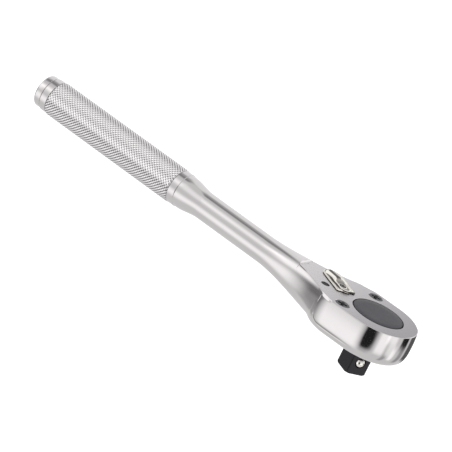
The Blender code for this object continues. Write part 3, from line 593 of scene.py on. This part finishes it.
def wellTools():
    # the hollows under the lid, as bars and one prism that are cut away
    w, above, across = wells, head["rim"] + wells["past"], wells["floor"] + wells["overlap"]
    bar = lambda radius, low, high: [(0, low), (radius, low), (radius, high), (0, high)]
    pawls = [(x, -y) for x, y in w["pawls"]] + w["pawls"][::-1]
    tools = [
        turned("gearWell", bar(w["gear"], w["floor"], above), steps=144),
        turned("journalBore", bar(w["journal"], head["bottom"] - w["past"], across), steps=144),
        prism("pawlWell", pawls, w["floor"], above),
        turned("ballHole", bar(w["ballRadius"], 0, w["ballFront"] - w["ballEnd"]),
               (w["ballEnd"], 0, w["middle"]), (1, 0, 0), steps=32),
    ]
    for side in (-1, 1):
        pin = onSide(w["pin"], side)
        tools += [
            turned("bossWell", bar(w["boss"], w["floor"], above), pin),
            turned("pinHole", bar(w["pinRadius"], w["pinFloor"], across), pin, steps=48),
            turned("screwHole", bar(w["screwRadius"], w["screwFloor"], above),
                   onSide(w["screw"], side), steps=48),
            turned("springHole", bar(w["springRadius"], 0, w["springLength"]),
                   (w["lever"], side * w["springEnd"], w["middle"]), (0, -side, 0), steps=32),
        ]
    return tools


def forgingCreaseShade(x, y, z):
    # painted shade in the pressed line, on the outer sides below the lid
    outer = (np.abs(y) > crease["creaseShadeFrom"]) * (z < head["rim"] - crease["belowRim"])
    return crease["creaseShade"] * creaseDepth(x, z)[1] * outer


# the pressed line on the forging is given painted shade
forged = paint(cutAway(forgingMesh(), *wellTools()), "creaseShade", forgingCreaseShade)
forging = addPiece("forged_body", forged, "body", chromeFinish(), ["ratchet_body"])
print("forging:", len(forging.data.polygons), "faces")


# Knurled grip: a sleeve of crossed cuts

knurl = {
    "starts": 32, "pitch": 1.54, "divisions": 6, "radius": 8.2, "depth": 0.16, "flat": 0.30, "inner": 7.21,
    "endEase": 0.4, "endDrop": 0.3, "cutWidth": 0.2, "pitSize": 0.48, "risingEnd": (-0.02, 0.2),
    "fallingFrom": (0.84, 0.14),
}


def knurlShare(turns):
    # distance to the nearest cut of a family, in cuts
    return np.abs(turns - np.round(turns))


def knurlFamilies(x, y, z):
    # the sum and the difference of the cuts around and along give a place in either family
    along = (x - handle["gripStart"]) / knurl["pitch"]
    around = np.arctan2(z - axisHeight(x), y) * knurl["starts"] / (2 * math.pi)
    return knurlShare(around + along), knurlShare(around - along)


def knurlCutShade(x, y, z):
    # painted shade, 1 in the bottom of the cuts and 0 at their edges; one family is shaded low on the grip,
    # the other high on it
    rising, falling = knurlFamilies(x, y, z)
    up = (z - axisHeight(x)) / knurl["radius"]
    low, high = 1 - ramp(up, *knurl["risingEnd"]), ramp(up, *knurl["fallingFrom"])
    inCut = lambda away: 1 - np.clip(away / knurl["cutWidth"], 0, 1)
    return np.maximum(inCut(rising) * low, inCut(falling) * high)


def knurlPitShade(x, y, z):
    # painted shade, 1 where cuts of both families cross, falling to 0 around that point
    return 1 - np.clip(np.hypot(*knurlFamilies(x, y, z)) / knurl["pitSize"], 0, 1)


def knurlMesh():
    # two families of helical cuts cross: the height is the lesser distance to a cut of either family, with
    # its crest levelled off, on a grid whose vertices fall on the cuts
    k, parts = knurl, knurl["divisions"]
    columns = k["starts"] * parts
    rows = round((handle["gripEnd"] - handle["gripStart"]) / k["pitch"] * parts)
    along, around = np.meshgrid(np.arange(rows + 1), np.arange(columns), indexing="ij")
    rise = np.minimum(knurlShare((around + along) / parts), knurlShare((around - along) / parts))
    x = handle["gripStart"] + k["pitch"] * along / parts
    fade = smooth(np.minimum(x - x[0], x[-1] - x) / k["endEase"])
    outer = k["radius"] - k["depth"] * (1 - np.minimum(rise / k["flat"], 1)) - k["endDrop"] * (1 - fade)
    order = [*range(rows + 1), -1, 0, 0]  # along the outside, back along the inside and to the start
    x = x[order]
    radius = np.concatenate([outer, np.full((2, columns), k["inner"]), outer[:1]])
    angle = circle(columns)
    points = joined(x, radius * np.cos(angle), axisHeight(x) + radius * np.sin(angle))
    a, b, c, d = gridFaces(len(points), columns, True).T
    height = radius.ravel()
    acrossFirst = (height[a] + height[c] < height[b] + height[d])[:, None]  # split each quad along its cut
    first = np.where(acrossFirst, joined(a, b, c), joined(a, b, d))
    second = np.where(acrossFirst, joined(a, c, d), joined(b, c, d))
    return makeMesh("knurled_grip", points, np.concatenate([first, second]))


# the cuts and their crossings are given painted shade
knurled = paint(paint(knurlMesh(), "cut", knurlCutShade), "pitShade", knurlPitShade)
grip = addPiece("knurled_grip", knurled, "body", knurlFinish(), ["ratchet_body"], sharp=20)
print("grip:", len(grip.data.polygons), "faces")


# Lid

# the lid's table also sets how dark the painted shade along its upper edge is
lid = {
    "rear": -39.69, "bevel": 0.28, "discHole": 11.85, "stemHole": 2.8, "pinHole": 1.95, "screwHole": 1.7,
    "screwHead": 3.45, "holeEase": 0.12, "past": 2.0, "sinkOver": 0.3, "levels": 14, "seamShade": 0.9,
    "seamRear": (33.5, 3.0), "seamEdge": (0.05, 0.01), "rings": 5,
}


def lidMesh():
    # level by level the lid's side follows the forging's skin; top and underside run to the middle line
    x, turn, openFrom = skinStations()
    x, turn = x[openFrom:].copy(), turn[openFrom:]
    x[0] = lid["rear"]
    ahead = joined(np.cos(turn), np.sin(turn), 0)[:, None]
    levels = np.linspace(head["lidUnder"], head["top"] - lid["bevel"], lid["levels"])
    base = joined(x[:, None], 0, levels)
    side = reachAlong(base, np.broadcast_to(ahead, base.shape))
    shares = np.linspace(0, 1, lid["rings"])
    under, over = side[:, :1] * shares[:-1], (side[:, -1:] - lid["bevel"]) * shares[::-1]
    reach = np.concatenate([under, side, over], 1)
    height = np.concatenate([0 * shares[:-1] + levels[0], levels, 0 * shares + head["top"]])
    points = joined(x[:, None], 0, height) + ahead * reach[..., None]
    rearEnd = points[:1] * np.array([1, 0, 1])
    points = bothSides(np.concatenate([rearEnd, points]))
    return makeMesh("lid_plate", points, gridFaces(*points.shape[:2]))


def drill(radius, flare, place, steps=64):
    # a bar with a cone on top: flare is the cone's depth in the lid and its end's radius and height above
    deep, mouth, over = flare
    low, top = head["lidUnder"] - lid["past"], head["top"]
    profile = [(0, low), (radius, low), (radius, top - deep), (mouth, top + over), (0, top + over)]
    return turned("drill", profile, place, steps=steps)


def lidTools():
    # holes with a small countersink for disc, stem and pins, and full countersinks for the screws
    ease, over = lid["holeEase"], lid["sinkOver"]
    sink = (lid["screwHead"] - lid["screwHole"], lid["screwHead"] + over, over)
    eased = lambda radius, place, **more: drill(radius, (ease, radius + 2 * ease, ease), place, **more)
    tools = [eased(lid["discHole"], (0, 0, 0), steps=192), eased(lid["stemHole"], (wells["lever"], 0, 0))]
    for side in (-1, 1):
        tools.append(eased(lid["pinHole"], onSide(wells["pin"], side), steps=48))
        tools.append(drill(lid["screwHole"], sink, onSide(wells["screw"], side)))
    return tools


def lidSeamShade(x, y, z):
    # painted shade along the line where the lid's upper edge runs into the neck, fading along the flare
    below, above = lid["seamEdge"]
    onEdge = (z > head["top"] - lid["bevel"] - below) & (z < head["top"] - above)
    return onEdge * ramp(-x, *lid["seamRear"]) * lid["seamShade"]


# the lid's upper edge by the neck is given painted shade
plateMesh = paint(cutAway(lidMesh(), *lidTools()), "seamShade", lidSeamShade)
plate = addPiece("lid_plate", plateMesh, "body", satinFinish(), ["cover_plate"])
print("lid:", len(plate.data.polygons), "faces")


# Lid screws with a cross recess

screw = {
    "radius": 3.25, "sunk": 0.1, "crown": 0.04, "edge": 0.12, "shank": 1.5, "length": 10.5, "point": 0.6,
    "slot": (4.4, 1.3), "slotFloor": (0.3, 0.6), "slotOver": (1.2, 1.1), "over": 0.4, "deep": 1.6, "turn": 20,
    "darkFrom": (0.1, 0.35), "domeAt": 0.6, "domeHigh": 0.75,
}


def crossTool(place, turn):
    # one arm of the recess: a wedge that narrows downwards, as a rectangle carried down and drawn in
    s, top = screw, head["top"] - screw["sunk"]
    corners = np.array([(1, 1), (-1, 1), (-1, -1), (1, -1)]) * s["slot"] / 2
    shares = [(0, 0), s["slotFloor"], (1, 1), s["slotOver"], (0, 0)]
    heights = [top - s["deep"], top - s["deep"], top, top + s["over"], top + s["over"]]
    spin = np.array([[math.cos(turn), math.sin(turn)], [-math.sin(turn), math.cos(turn)]])
    rows = [joined(*(corners * share @ spin + place).T, z) for share, z in zip(shares, heights)]
    return makeMesh("cross", np.array(rows), gridFaces(len(rows), len(corners), True))


def screwMesh(name, side):
    # a countersunk head and plain shank turned about the screw's axis, less a cross recess
    s, top, low = screw, head["top"] - screw["sunk"], head["top"] - screw["length"]
    place = onSide(wells["screw"], side)
    profile = [
        (0, top + s["crown"]), (s["radius"] * s["domeAt"], top + s["crown"] * s["domeHigh"]),
        (s["radius"] - s["edge"], top), (s["radius"], top - s["edge"]),
        (s["shank"], top - s["radius"] + s["shank"]),
        (s["shank"], low + s["point"]), (s["shank"] / 2, low), (0, low),
    ]
    turn = math.radians(s["turn"])
    arms = [crossTool(place[:2], turn + quarter * math.pi / 2) for quarter in (0, 1)]
    return cutAway(turned(name, profile, place, steps=72), *arms)


def screwRecessShade(x, y, z):
    # painted shade, 1 well inside the cross, 0 on the head's face
    return ramp(head["top"] - screw["sunk"] - z, *screw["darkFrom"])


# the sunk colour of the screws is painted shade in the cross recess
darkScrew = steelFinish("darkScrew", (0.045, 0.044, 0.048), (0.10, 0.098, 0.105), 0.34, sunk=(0.004,) * 3)
for side, end in ((-1, "near"), (1, "far")):
    fastener = paint(screwMesh(f"lid_screw_{end}", side), "sunk", screwRecessShade)
    addPiece(f"lid_screw_{end}", fastener, "body", darkScrew, [f"cover_screw_{end}"])
print("screws done")


# Drive: disc, toothed ring, journal and square in one grid

drive = {
    "square": 9.525, "corner": 0.5, "turn": math.radians(-30), "chamfer": 5.9, "chamferHeight": 0.7,
    "chamferFrom": 0.06, "chamferPast": 0.3, "wallRows": (3, 5, 7, 9, 11.4), "fillet": 0.25, "journal": 8.5,
    "journalEase": 0.2, "journalLip": 0.05, "gearLow": 15.4, "gearHigh": 24.7, "tip": 13.5, "tooth": 1.1,
    "toothEase": 0.3, "toothSlope": 1.3, "toothFlat": 0.15, "teeth": 36, "disc": 11.65, "discEase": 0.5,
    "discEdge": ((0.15, 0.12), (0.5, 0.01)), "discRows": (8, 4, 0), "discTop": 27.7, "steps": 720,
    "ballHeight": 5.7, "ballBore": 2.4, "boreDepth": 7.6, "borePast": 1.0,
    "boreMouth": ((0.35, 0), (0.12, 0.95), (0, 1.15)), "endShares": (0, 0.5, 0.97), "coneRows": 14,
}


def squareReach(angle):
    # distance from the axis to a square with round corners
    half, r = drive["square"] / 2, drive["corner"]
    fold = np.abs((angle - drive["turn"] + math.pi / 4) % (math.pi / 2) - math.pi / 4)
    side = half / np.cos(fold)
    middle = (half - r) * math.sqrt(2)
    offset = math.pi / 4 - fold
    corner = middle * np.cos(offset) + np.sqrt(np.clip(r * r - (middle * np.sin(offset)) ** 2, 0, None))
    return np.where(side * np.sin(fold) > half - r, corner, side)


def driveMesh():
    # rows (radius at each angle, height) from the end up: the square within the chamfer's cone, the journal,
    # teeth as a wave with level tips and roots, and the disc
    d, under, ease = drive, head["bottom"], drive["toothEase"]
    angle = circle(d["steps"])
    square = squareReach(angle)
    wave = np.abs((angle * d["teeth"] / math.pi / 2) % 1 - 0.5) * 2
    teeth = d["tip"] - d["tooth"] * np.clip(d["toothSlope"] * wave - d["toothFlat"], 0, 1)
    cone = lambda z: d["chamfer"] + (d["square"] / math.sqrt(2) - d["chamfer"]) * z / d["chamferHeight"]
    coneRows = np.linspace(d["chamferFrom"], d["chamferHeight"] + d["chamferPast"], d["coneRows"])
    rows = [(np.minimum(square, d["chamfer"] * share), 0) for share in d["endShares"]]
    rows += [(np.minimum(square, cone(z)), z) for z in coneRows]
    rows += [(square, z) for z in d["wallRows"]]
    rows += [(square + d["fillet"], under - d["fillet"])]
    rows += [(d["journal"] - d["journalEase"], under - d["fillet"])]
    rows += [(d["journal"], z) for z in (under - d["journalLip"], d["gearLow"])]
    rows += [(teeth - ease, d["gearLow"]), (teeth, d["gearLow"] + ease)]
    rows += [(teeth, d["gearHigh"] - ease), (teeth - ease, d["gearHigh"])]
    rows += [(d["disc"], z) for z in (d["gearHigh"], d["discTop"] - d["discEase"])]
    rows += [(d["disc"] - back, d["discTop"] - drop) for back, drop in d["discEdge"]]
    rows += [(radius, d["discTop"]) for radius in d["discRows"]]
    points = [joined(radius * np.cos(angle), radius * np.sin(angle), z) for radius, z in rows]
    return makeMesh("drive_square", np.array(points), gridFaces(len(rows), d["steps"], True))


def ballDirection():
    return np.array([math.cos(drive["turn"]), math.sin(drive["turn"]), 0])


def onBallLine(beyond):
    # a place on the ball's line, so far beyond the square's face
    return ballDirection() * (drive["square"] / 2 + beyond) + np.array([0, 0, drive["ballHeight"]])


def boreTool():
    # a drill on the ball's line with a wider mouth, from outside the face into the square
    d, depth = drive, drive["boreDepth"] + drive["borePast"]
    mouth = [(d["ballBore"] + wider, deep) for wider, deep in d["boreMouth"]]
    profile = [(0, 0), *mouth, (d["ballBore"], depth), (0, depth)]
    return turned("bore", profile, onBallLine(d["borePast"]), -ballDirection(), steps=72)


bored = cutAway(driveMesh(), boreTool())
addPiece("drive_square", bored, "drive", oxideFinish(), ["drive_gear"])

ball = {"radius": 2.3, "proud": 1.25, "rings": 41}


def ballMesh():
    # a sphere: rings from pole to pole about the line that the ball moves along
    lean = np.linspace(0, math.pi, ball["rings"])
    profile = joined(ball["radius"] * np.sin(lean), -ball["radius"] * np.cos(lean))
    profile[[0, -1], 0] = 0
    return turned("socket_ball", profile, onBallLine(ball["proud"] - ball["radius"]), ballDirection())


brightSteel = steelFinish("brightSteel", (0.86, 0.84, 0.79), (0.92, 0.90, 0.85), 0.04)
addPiece("socket_ball", ballMesh(), "socket_ball", brightSteel, ["detent_ball"])
print("drive done")


# Reversing lever: a cast thumb piece

lever = {
    "turn": math.radians(150), "half": 4.85, "shift": -0.15, "rear": 4.2, "corner": 1.0, "tailFrom": 9.0,
    "front": 14.4, "bottom": 27.86, "edge": 0.25, "flange": 0.44, "bead": 0.16,
    "beadIn": 0.55, "beadWide": 0.25, "boss": 2.95, "bossRear": -2.0, "bossFront": 1.5, "spread": 0.15,
    "wall": 0.4, "wallIn": 0.25, "rim": 0.98, "peak": 5.5, "roof": 2.05, "fall": 0.13, "slope": 0.3,
    "crest": 0.5, "ridgeStart": 2.7, "recess": 2.25, "recessFront": 3.2, "recessWall": 0.5, "floor": 0.55,
    "rivet": 1.05, "rivetHigh": 0.3, "rivetEase": 0.25, "ring": 1.75, "ringHigh": 0.2, "ringWide": 0.26,
    "spine": (-0.25, 0.5), "under": ((0, 0), (0.5, 0), (0.985, 0), (1, 0.08)), "edgeShare": 0.12,
    "edgeRings": 20, "rings": 130, "steps": 400,
}


def leverDistance(along, across):
    # distance inside the lever's plan: a rectangle with a pointed tail, joined to the boss about the pivot
    v = lever
    side = np.abs(across - v["shift"])
    plate = -outsideBox(v["corner"] - along - v["rear"], side - v["half"] + v["corner"], v["corner"])
    tailShare = (along - v["tailFrom"]) / (v["front"] - v["tailFrom"])
    tail = v["half"] * (1 - np.hypot(tailShare, side / v["half"]))
    boss = v["boss"] - np.hypot(along - np.clip(along, v["bossRear"], v["bossFront"]), side)
    return np.maximum(np.where(along > v["tailFrom"], tail, plate), boss)


def leverShares(along, across):
    # inset from the edge, distance to one side of the crest, and shares for the upper level (the boss and a
    # thumb ridge that widens towards the tail), for its ridge and for its recess
    v = lever
    inset = np.clip(leverDistance(along, across), 0, None)
    side = across - v["shift"]
    half = v["boss"] + v["spread"] * np.clip(along - v["bossFront"], 0, None)
    inner = half - np.hypot(np.clip(v["bossRear"] - along, 0, None), side)
    inner = np.where(along > v["bossFront"], np.minimum(inner, inset - v["wallIn"]), inner)
    ridge = ramp(along, v["ridgeStart"], v["peak"] - v["ridgeStart"])
    upper = smooth(inner / (v["wall"] * (1 + ridge)))
    fromSlot = np.hypot(along - np.clip(along, v["bossRear"], v["recessFront"]), side)
    recess = ramp(-fromSlot, -v["recess"], v["recessWall"]) * (1 - ridge)
    return inset, side, upper, ridge, recess


def leverHeight(along, across):
    # a thin flange with a bead near its edge, and on it a rim about a sunk floor with a rivet in a ring, and
    # a thumb ridge like a roof, whose rounded crest falls from its peak to the tail
    v = lever
    inset, side, upper, ridge, recess = leverShares(along, across)
    edge = np.sqrt(1 - (1 - np.clip(inset / v["edge"], 0, 1)) ** 2)
    flange = v["flange"] * (1 + edge) / 2 + v["bead"] * bell(inset - v["beadIn"], v["beadWide"])
    down = v["slope"] * (np.hypot(side, v["crest"]) - v["crest"])
    roof = v["roof"] - v["fall"] * np.clip(along - v["peak"], 0, None) - down
    fromHub = np.hypot(along, across)
    rivet = v["rivetHigh"] * (1 - ramp(fromHub, v["rivet"], v["rivetEase"]))
    ring = v["ringHigh"] * bell(fromHub - v["ring"], v["ringWide"])
    rim = v["rim"] + (v["floor"] + rivet + ring - v["rim"]) * recess
    top = rim + (roof - rim) * ridge
    return flange + np.clip(top - flange, 0, None) * upper


# how dark the painted shade and reflections are at each place, and where they begin and end
leverShadeLevels = {
    "wall": 0.97, "wallFoot": (0, 0.1), "wallTop": (0.55, 0.3), "flange": 0.8, "flangeIn": (1.0, 0.3),
    "flangeRear": (-3.0, 2.0), "line": 0.9, "lineIn": (0.45, 0.3), "crest": 0.98, "crestSide": 0.4,
    "crestEdge": (0.95, 0.3), "tip": 0.9, "tipFrom": (12.4, 1.0), "tipSide": (0.6, 0.8), "floor": 0.78,
    "ringWide": 0.36, "rivet": 0.95, "rivetEdge": (-0.15, 0.25), "foot": (0, 0.1), "farSide": (-0.5, 1.0),
    "hubEnd": (2.0, 3.0),
}


def leverShade(x, y, z):
    # 1 where painted shade and dark reflections lie, such as the walls, the hub's floor, the crest, the far
    # edge and the foot; one side of the tail stays bright
    v, p = lever, leverShadeLevels
    c, s = math.cos(v["turn"]), math.sin(v["turn"])
    fromPivot = x - wells["lever"]
    along, across = fromPivot * c + y * s, y * c - fromPivot * s
    inset, side, upper, ridge, recess = leverShares(along, across)
    fromHub = np.hypot(along, across)
    # painted shade lies on the far side and about the hub
    shadedPart = np.maximum(ramp(side, *p["farSide"]), 1 - ramp(along, *p["hubEnd"]))
    beside = shadedPart * (1 - upper)
    shades = [
        p["wall"] * shadedPart * ramp(upper, *p["wallFoot"]) * (1 - ramp(upper, *p["wallTop"])),
        p["flange"] * beside * ramp(inset, *p["flangeIn"]) * ramp(along, *p["flangeRear"]),
        p["line"] * beside * smooth(-side) * (1 - ramp(inset, *p["lineIn"])),
        p["crest"] * ridge * (1 - ramp(np.abs(side - p["crestSide"]), *p["crestEdge"])),
        p["tip"] * ramp(along, *p["tipFrom"]) * (1 - ramp(side, *p["tipSide"])),
        p["floor"] * recess * (1 - bell(fromHub - v["ring"], p["ringWide"])),
        p["rivet"] * (1 - ramp(fromHub - v["rivet"], *p["rivetEdge"])),
        ramp(v["bottom"] + v["flange"] / 2 - z, *p["foot"]),
    ]
    return np.clip(np.maximum.reduce(shades), 0, 1)


def leverMesh():
    # rings shrink from the plan's edge to a spine; each point takes its height from leverHeight
    v = lever
    angle = circle(v["steps"])
    ahead, aside = np.cos(angle), np.sin(angle)
    spine = ramp(ahead, *v["spine"]) * v["tailFrom"]
    isWithin = lambda far: leverDistance(spine + ahead * far, aside * far) > 0
    reach = lastInside(isWithin, angle.shape)
    plan = lambda shares: (spine + ahead * reach * shares[:, None], aside * reach * shares[:, None])
    nearEdge = 1 - v["edgeShare"] * np.linspace(0, 1, v["edgeRings"]) ** 2
    along, across = plan(np.concatenate([nearEdge, np.linspace(nearEdge[-1], 0, v["rings"])[1:]]))
    top = joined(along, across, leverHeight(along, across))
    shares, heights = np.array(v["under"]).T
    under = joined(*plan(shares), heights[:, None])
    c, s = math.cos(v["turn"]), math.sin(v["turn"])
    turn = np.array([[c, s, 0], [-s, c, 0], [0, 0, 1]])
    points = np.concatenate([under, top]) @ turn + np.array([wells["lever"], 0, v["bottom"]])
    return makeMesh("thumb_lever", points, gridFaces(len(points), v["steps"], True))


# the sunk colour of the lever is its painted shade and dark reflections
nickel = steelFinish("warmNickel", (0.88, 0.85, 0.79), (0.93, 0.90, 0.84), 0.07, sunk=(0.022, 0.017, 0.012))
thumbMesh = paint(leverMesh(), "sunk", leverShade)
addPiece("thumb_lever", thumbMesh, "lever", nickel, ["reversing_lever"], sharp=50)
print("lever done")


# CAD pieces that keep their shape

toolSteel = steelFinish("toolSteel", (0.27, 0.27, 0.28), (0.36, 0.36, 0.37), 0.34, (0.2, 1, 1))
darkPin = steelFinish("darkPin", (0.006, 0.006, 0.007), (0.015, 0.015, 0.016), 0.4)
kept = [
    (brightSteel, ["thrust_washer", "detent_spring", "pawl_spring_near", "pawl_spring_far",
                   "lever_detent_ball", "lever_detent_spring"]),
    (toolSteel, ["pawl_near", "pawl_far", "selector_cam"]),
    (darkPin, ["pawl_pin_near", "pawl_pin_far", "lever_shaft", "lever_clip"]),
]
for finish, nodeNames in kept:
    for nodeName in nodeNames:
        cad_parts[nodeName].data.materials[0] = finish
print("kept CAD pieces done")


# Stage, light and camera, in metres

stage = {
    "drop": -0.25, "half": 4.0, "floorColour": (0.8, 0.8, 0.8), "glow": 0.5, "plain": 0.85, "surround": 0.8,
    "darkest": 0.02, "keyPower": 9.0, "keySize": 0.9, "keyPlace": (0.75, -0.8, 1.0),
    "keyAim": (-0.07, 0, 0.02),
}
# cards of the studio: middle azimuth and height, half width and half height, softness across and up, change
cards = [
    (-114, -25, 32, 16, 30, 26, 0.54),
    (-146, 25, 22, 17, 20, 20, 0.60),
    (-108, 43, 28, 16, 24, 24, 0.36),
    (158, 62, 30, 12, 30, 14, -0.50),
    (150, 34, 12, 8, 14, 10, -0.38),
    (-173, -22, 14, 9, 16, 10, -0.30),
    (-170, -7, 22, 9, 38, 20, -0.60),
    (113, 38, 40, 34, 30, 20, 0.20),
    (113, 1, 45, 9, 20, 7, 0.12),
    (-58, -3.5, 16, 21.5, 11, 15, -0.53),
    (-67, -2, 14, 21, 24, 18, -0.38),
    (-63, -24, 15, 14, 20, 18, -0.28),
    (-22, -14, 12, 13, 10, 14, 0.52),
    (0, -6, 14, 8, 10, 8, 0.42),
    (0, -36, 6, 12, 8, 10, -0.35),
    (20, -26, 6, 8, 8, 8, 0.55),
    (7, -20, 9, 7, 10, 10, 0.32),
    (43, -12, 12, 6, 6, 7, -0.78),
    (88, -18, 24, 9, 8, 7, -0.68),
    (66, 20, 16, 12, 12, 12, 0.45),
    (48, -27, 8, 10, 10, 12, -0.40),
]


def rayIs(kind):
    return Flow.make("LightPath", out=f"Is {kind} Ray")


def floorFinish():
    # pale matt floor that camera rays see as white, with the shadow kept
    finish, _ = startFinish("paleFloor")
    diffuse = Flow.make("BsdfDiffuse", {}, {"Color": (*stage["floorColour"], 1)})
    glow = Flow.make("Emission", {}, {"Strength": stage["glow"]})
    lit = Flow.make("AddShader", {}, {0: diffuse, 1: glow})
    seen = Flow.make("MixShader", {}, {0: rayIs("Camera"), 1: diffuse, 2: lit})
    Flow.make("OutputMaterial", {}, {"Surface": seen})
    return finish


half, drop = stage["half"], stage["drop"]
corners = [(-half, -half, drop), (half, -half, drop), (half, half, drop), (-half, half, drop)]
floorMesh = bpy.data.meshes.new("floor")
floorMesh.from_pydata(corners, [], [(0, 1, 2, 3)])
floorMesh.materials.append(floorFinish())
floor = newObject("floor", floorMesh)
floor.visible_glossy = False  # the studio's own light stands in the metal


def studioLight(ray):
    # the pale surround, raised or lowered where a card stands
    level = stage["surround"]
    lift = Flow.maths("ARCSINE", axisOf(ray, "Z")) * math.degrees(1)
    away = lambda offset: Flow.maths("ABSOLUTE", offset)
    inBand = lambda far, half, soft: 1 - between(far, half - soft / 2, half + soft / 2)
    for azimuth, middle, halfWide, halfHigh, softWide, softHigh, change in cards:
        a = math.radians(azimuth)
        forward = measure("DOT_PRODUCT", ray, (math.cos(a), math.sin(a), 0))
        aside = measure("DOT_PRODUCT", ray, (-math.sin(a), math.cos(a), 0))
        swing = Flow.maths("ARCTAN2", aside, forward) * math.degrees(1)
        across = inBand(away(swing), halfWide, softWide)
        level = level + across * inBand(away(lift - middle), halfHigh, softHigh) * change
    return Flow.maths("MAXIMUM", level, stage["darkest"])


world = bpy.data.worlds.new("studio")
scene.world = world
startTree(world)
world.cycles.sampling_method = "NONE"
toCamera, toGloss, toGlass = rayIs("Camera"), rayIs("Glossy"), rayIs("Transmission")
plainShare = 1 - toCamera - toGloss - toGlass
studio = studioLight(Flow.make("TexCoord", out="Generated"))
strength = toCamera + toGlass + toGloss * studio + stage["plain"] * plainShare
sky = Flow.make("Background", {}, {"Color": (1, 1, 1, 1), "Strength": strength})
Flow.make("OutputWorld", {}, {"Surface": sky})


def setUp(data, place, aim, roll=0):
    # a lamp or camera at a place, turned to face an aim and then rolled by degrees about its line of sight
    thing = newObject(data.name, data)
    thing.location = place
    thing.rotation_mode = "QUATERNION"
    look = (Vector(aim) - thing.location).to_track_quat("-Z", "Y")
    thing.rotation_quaternion = look @ Quaternion((0, 0, 1), math.radians(roll))
    return thing


key = bpy.data.lights.new("softKey", "AREA")
key.energy, key.size = stage["keyPower"], stage["keySize"]
setUp(key, stage["keyPlace"], stage["keyAim"]).visible_glossy = False

view = {
    "place": (0.53876, -1.25378, 0.52917), "aim": (-0.06656, -0.03100, 0.03247), "roll": 25.96,
    "lens": 276.24, "sensor": 36.0,  # lens and sensor in millimetres, roll in degrees
}
lens = bpy.data.cameras.new("camera")
lens.lens, lens.sensor_width = view["lens"], view["sensor"]
scene.camera = setUp(lens, view["place"], view["aim"], view["roll"])
scene.view_settings.view_transform = "Standard"
print("stage, light and camera done")
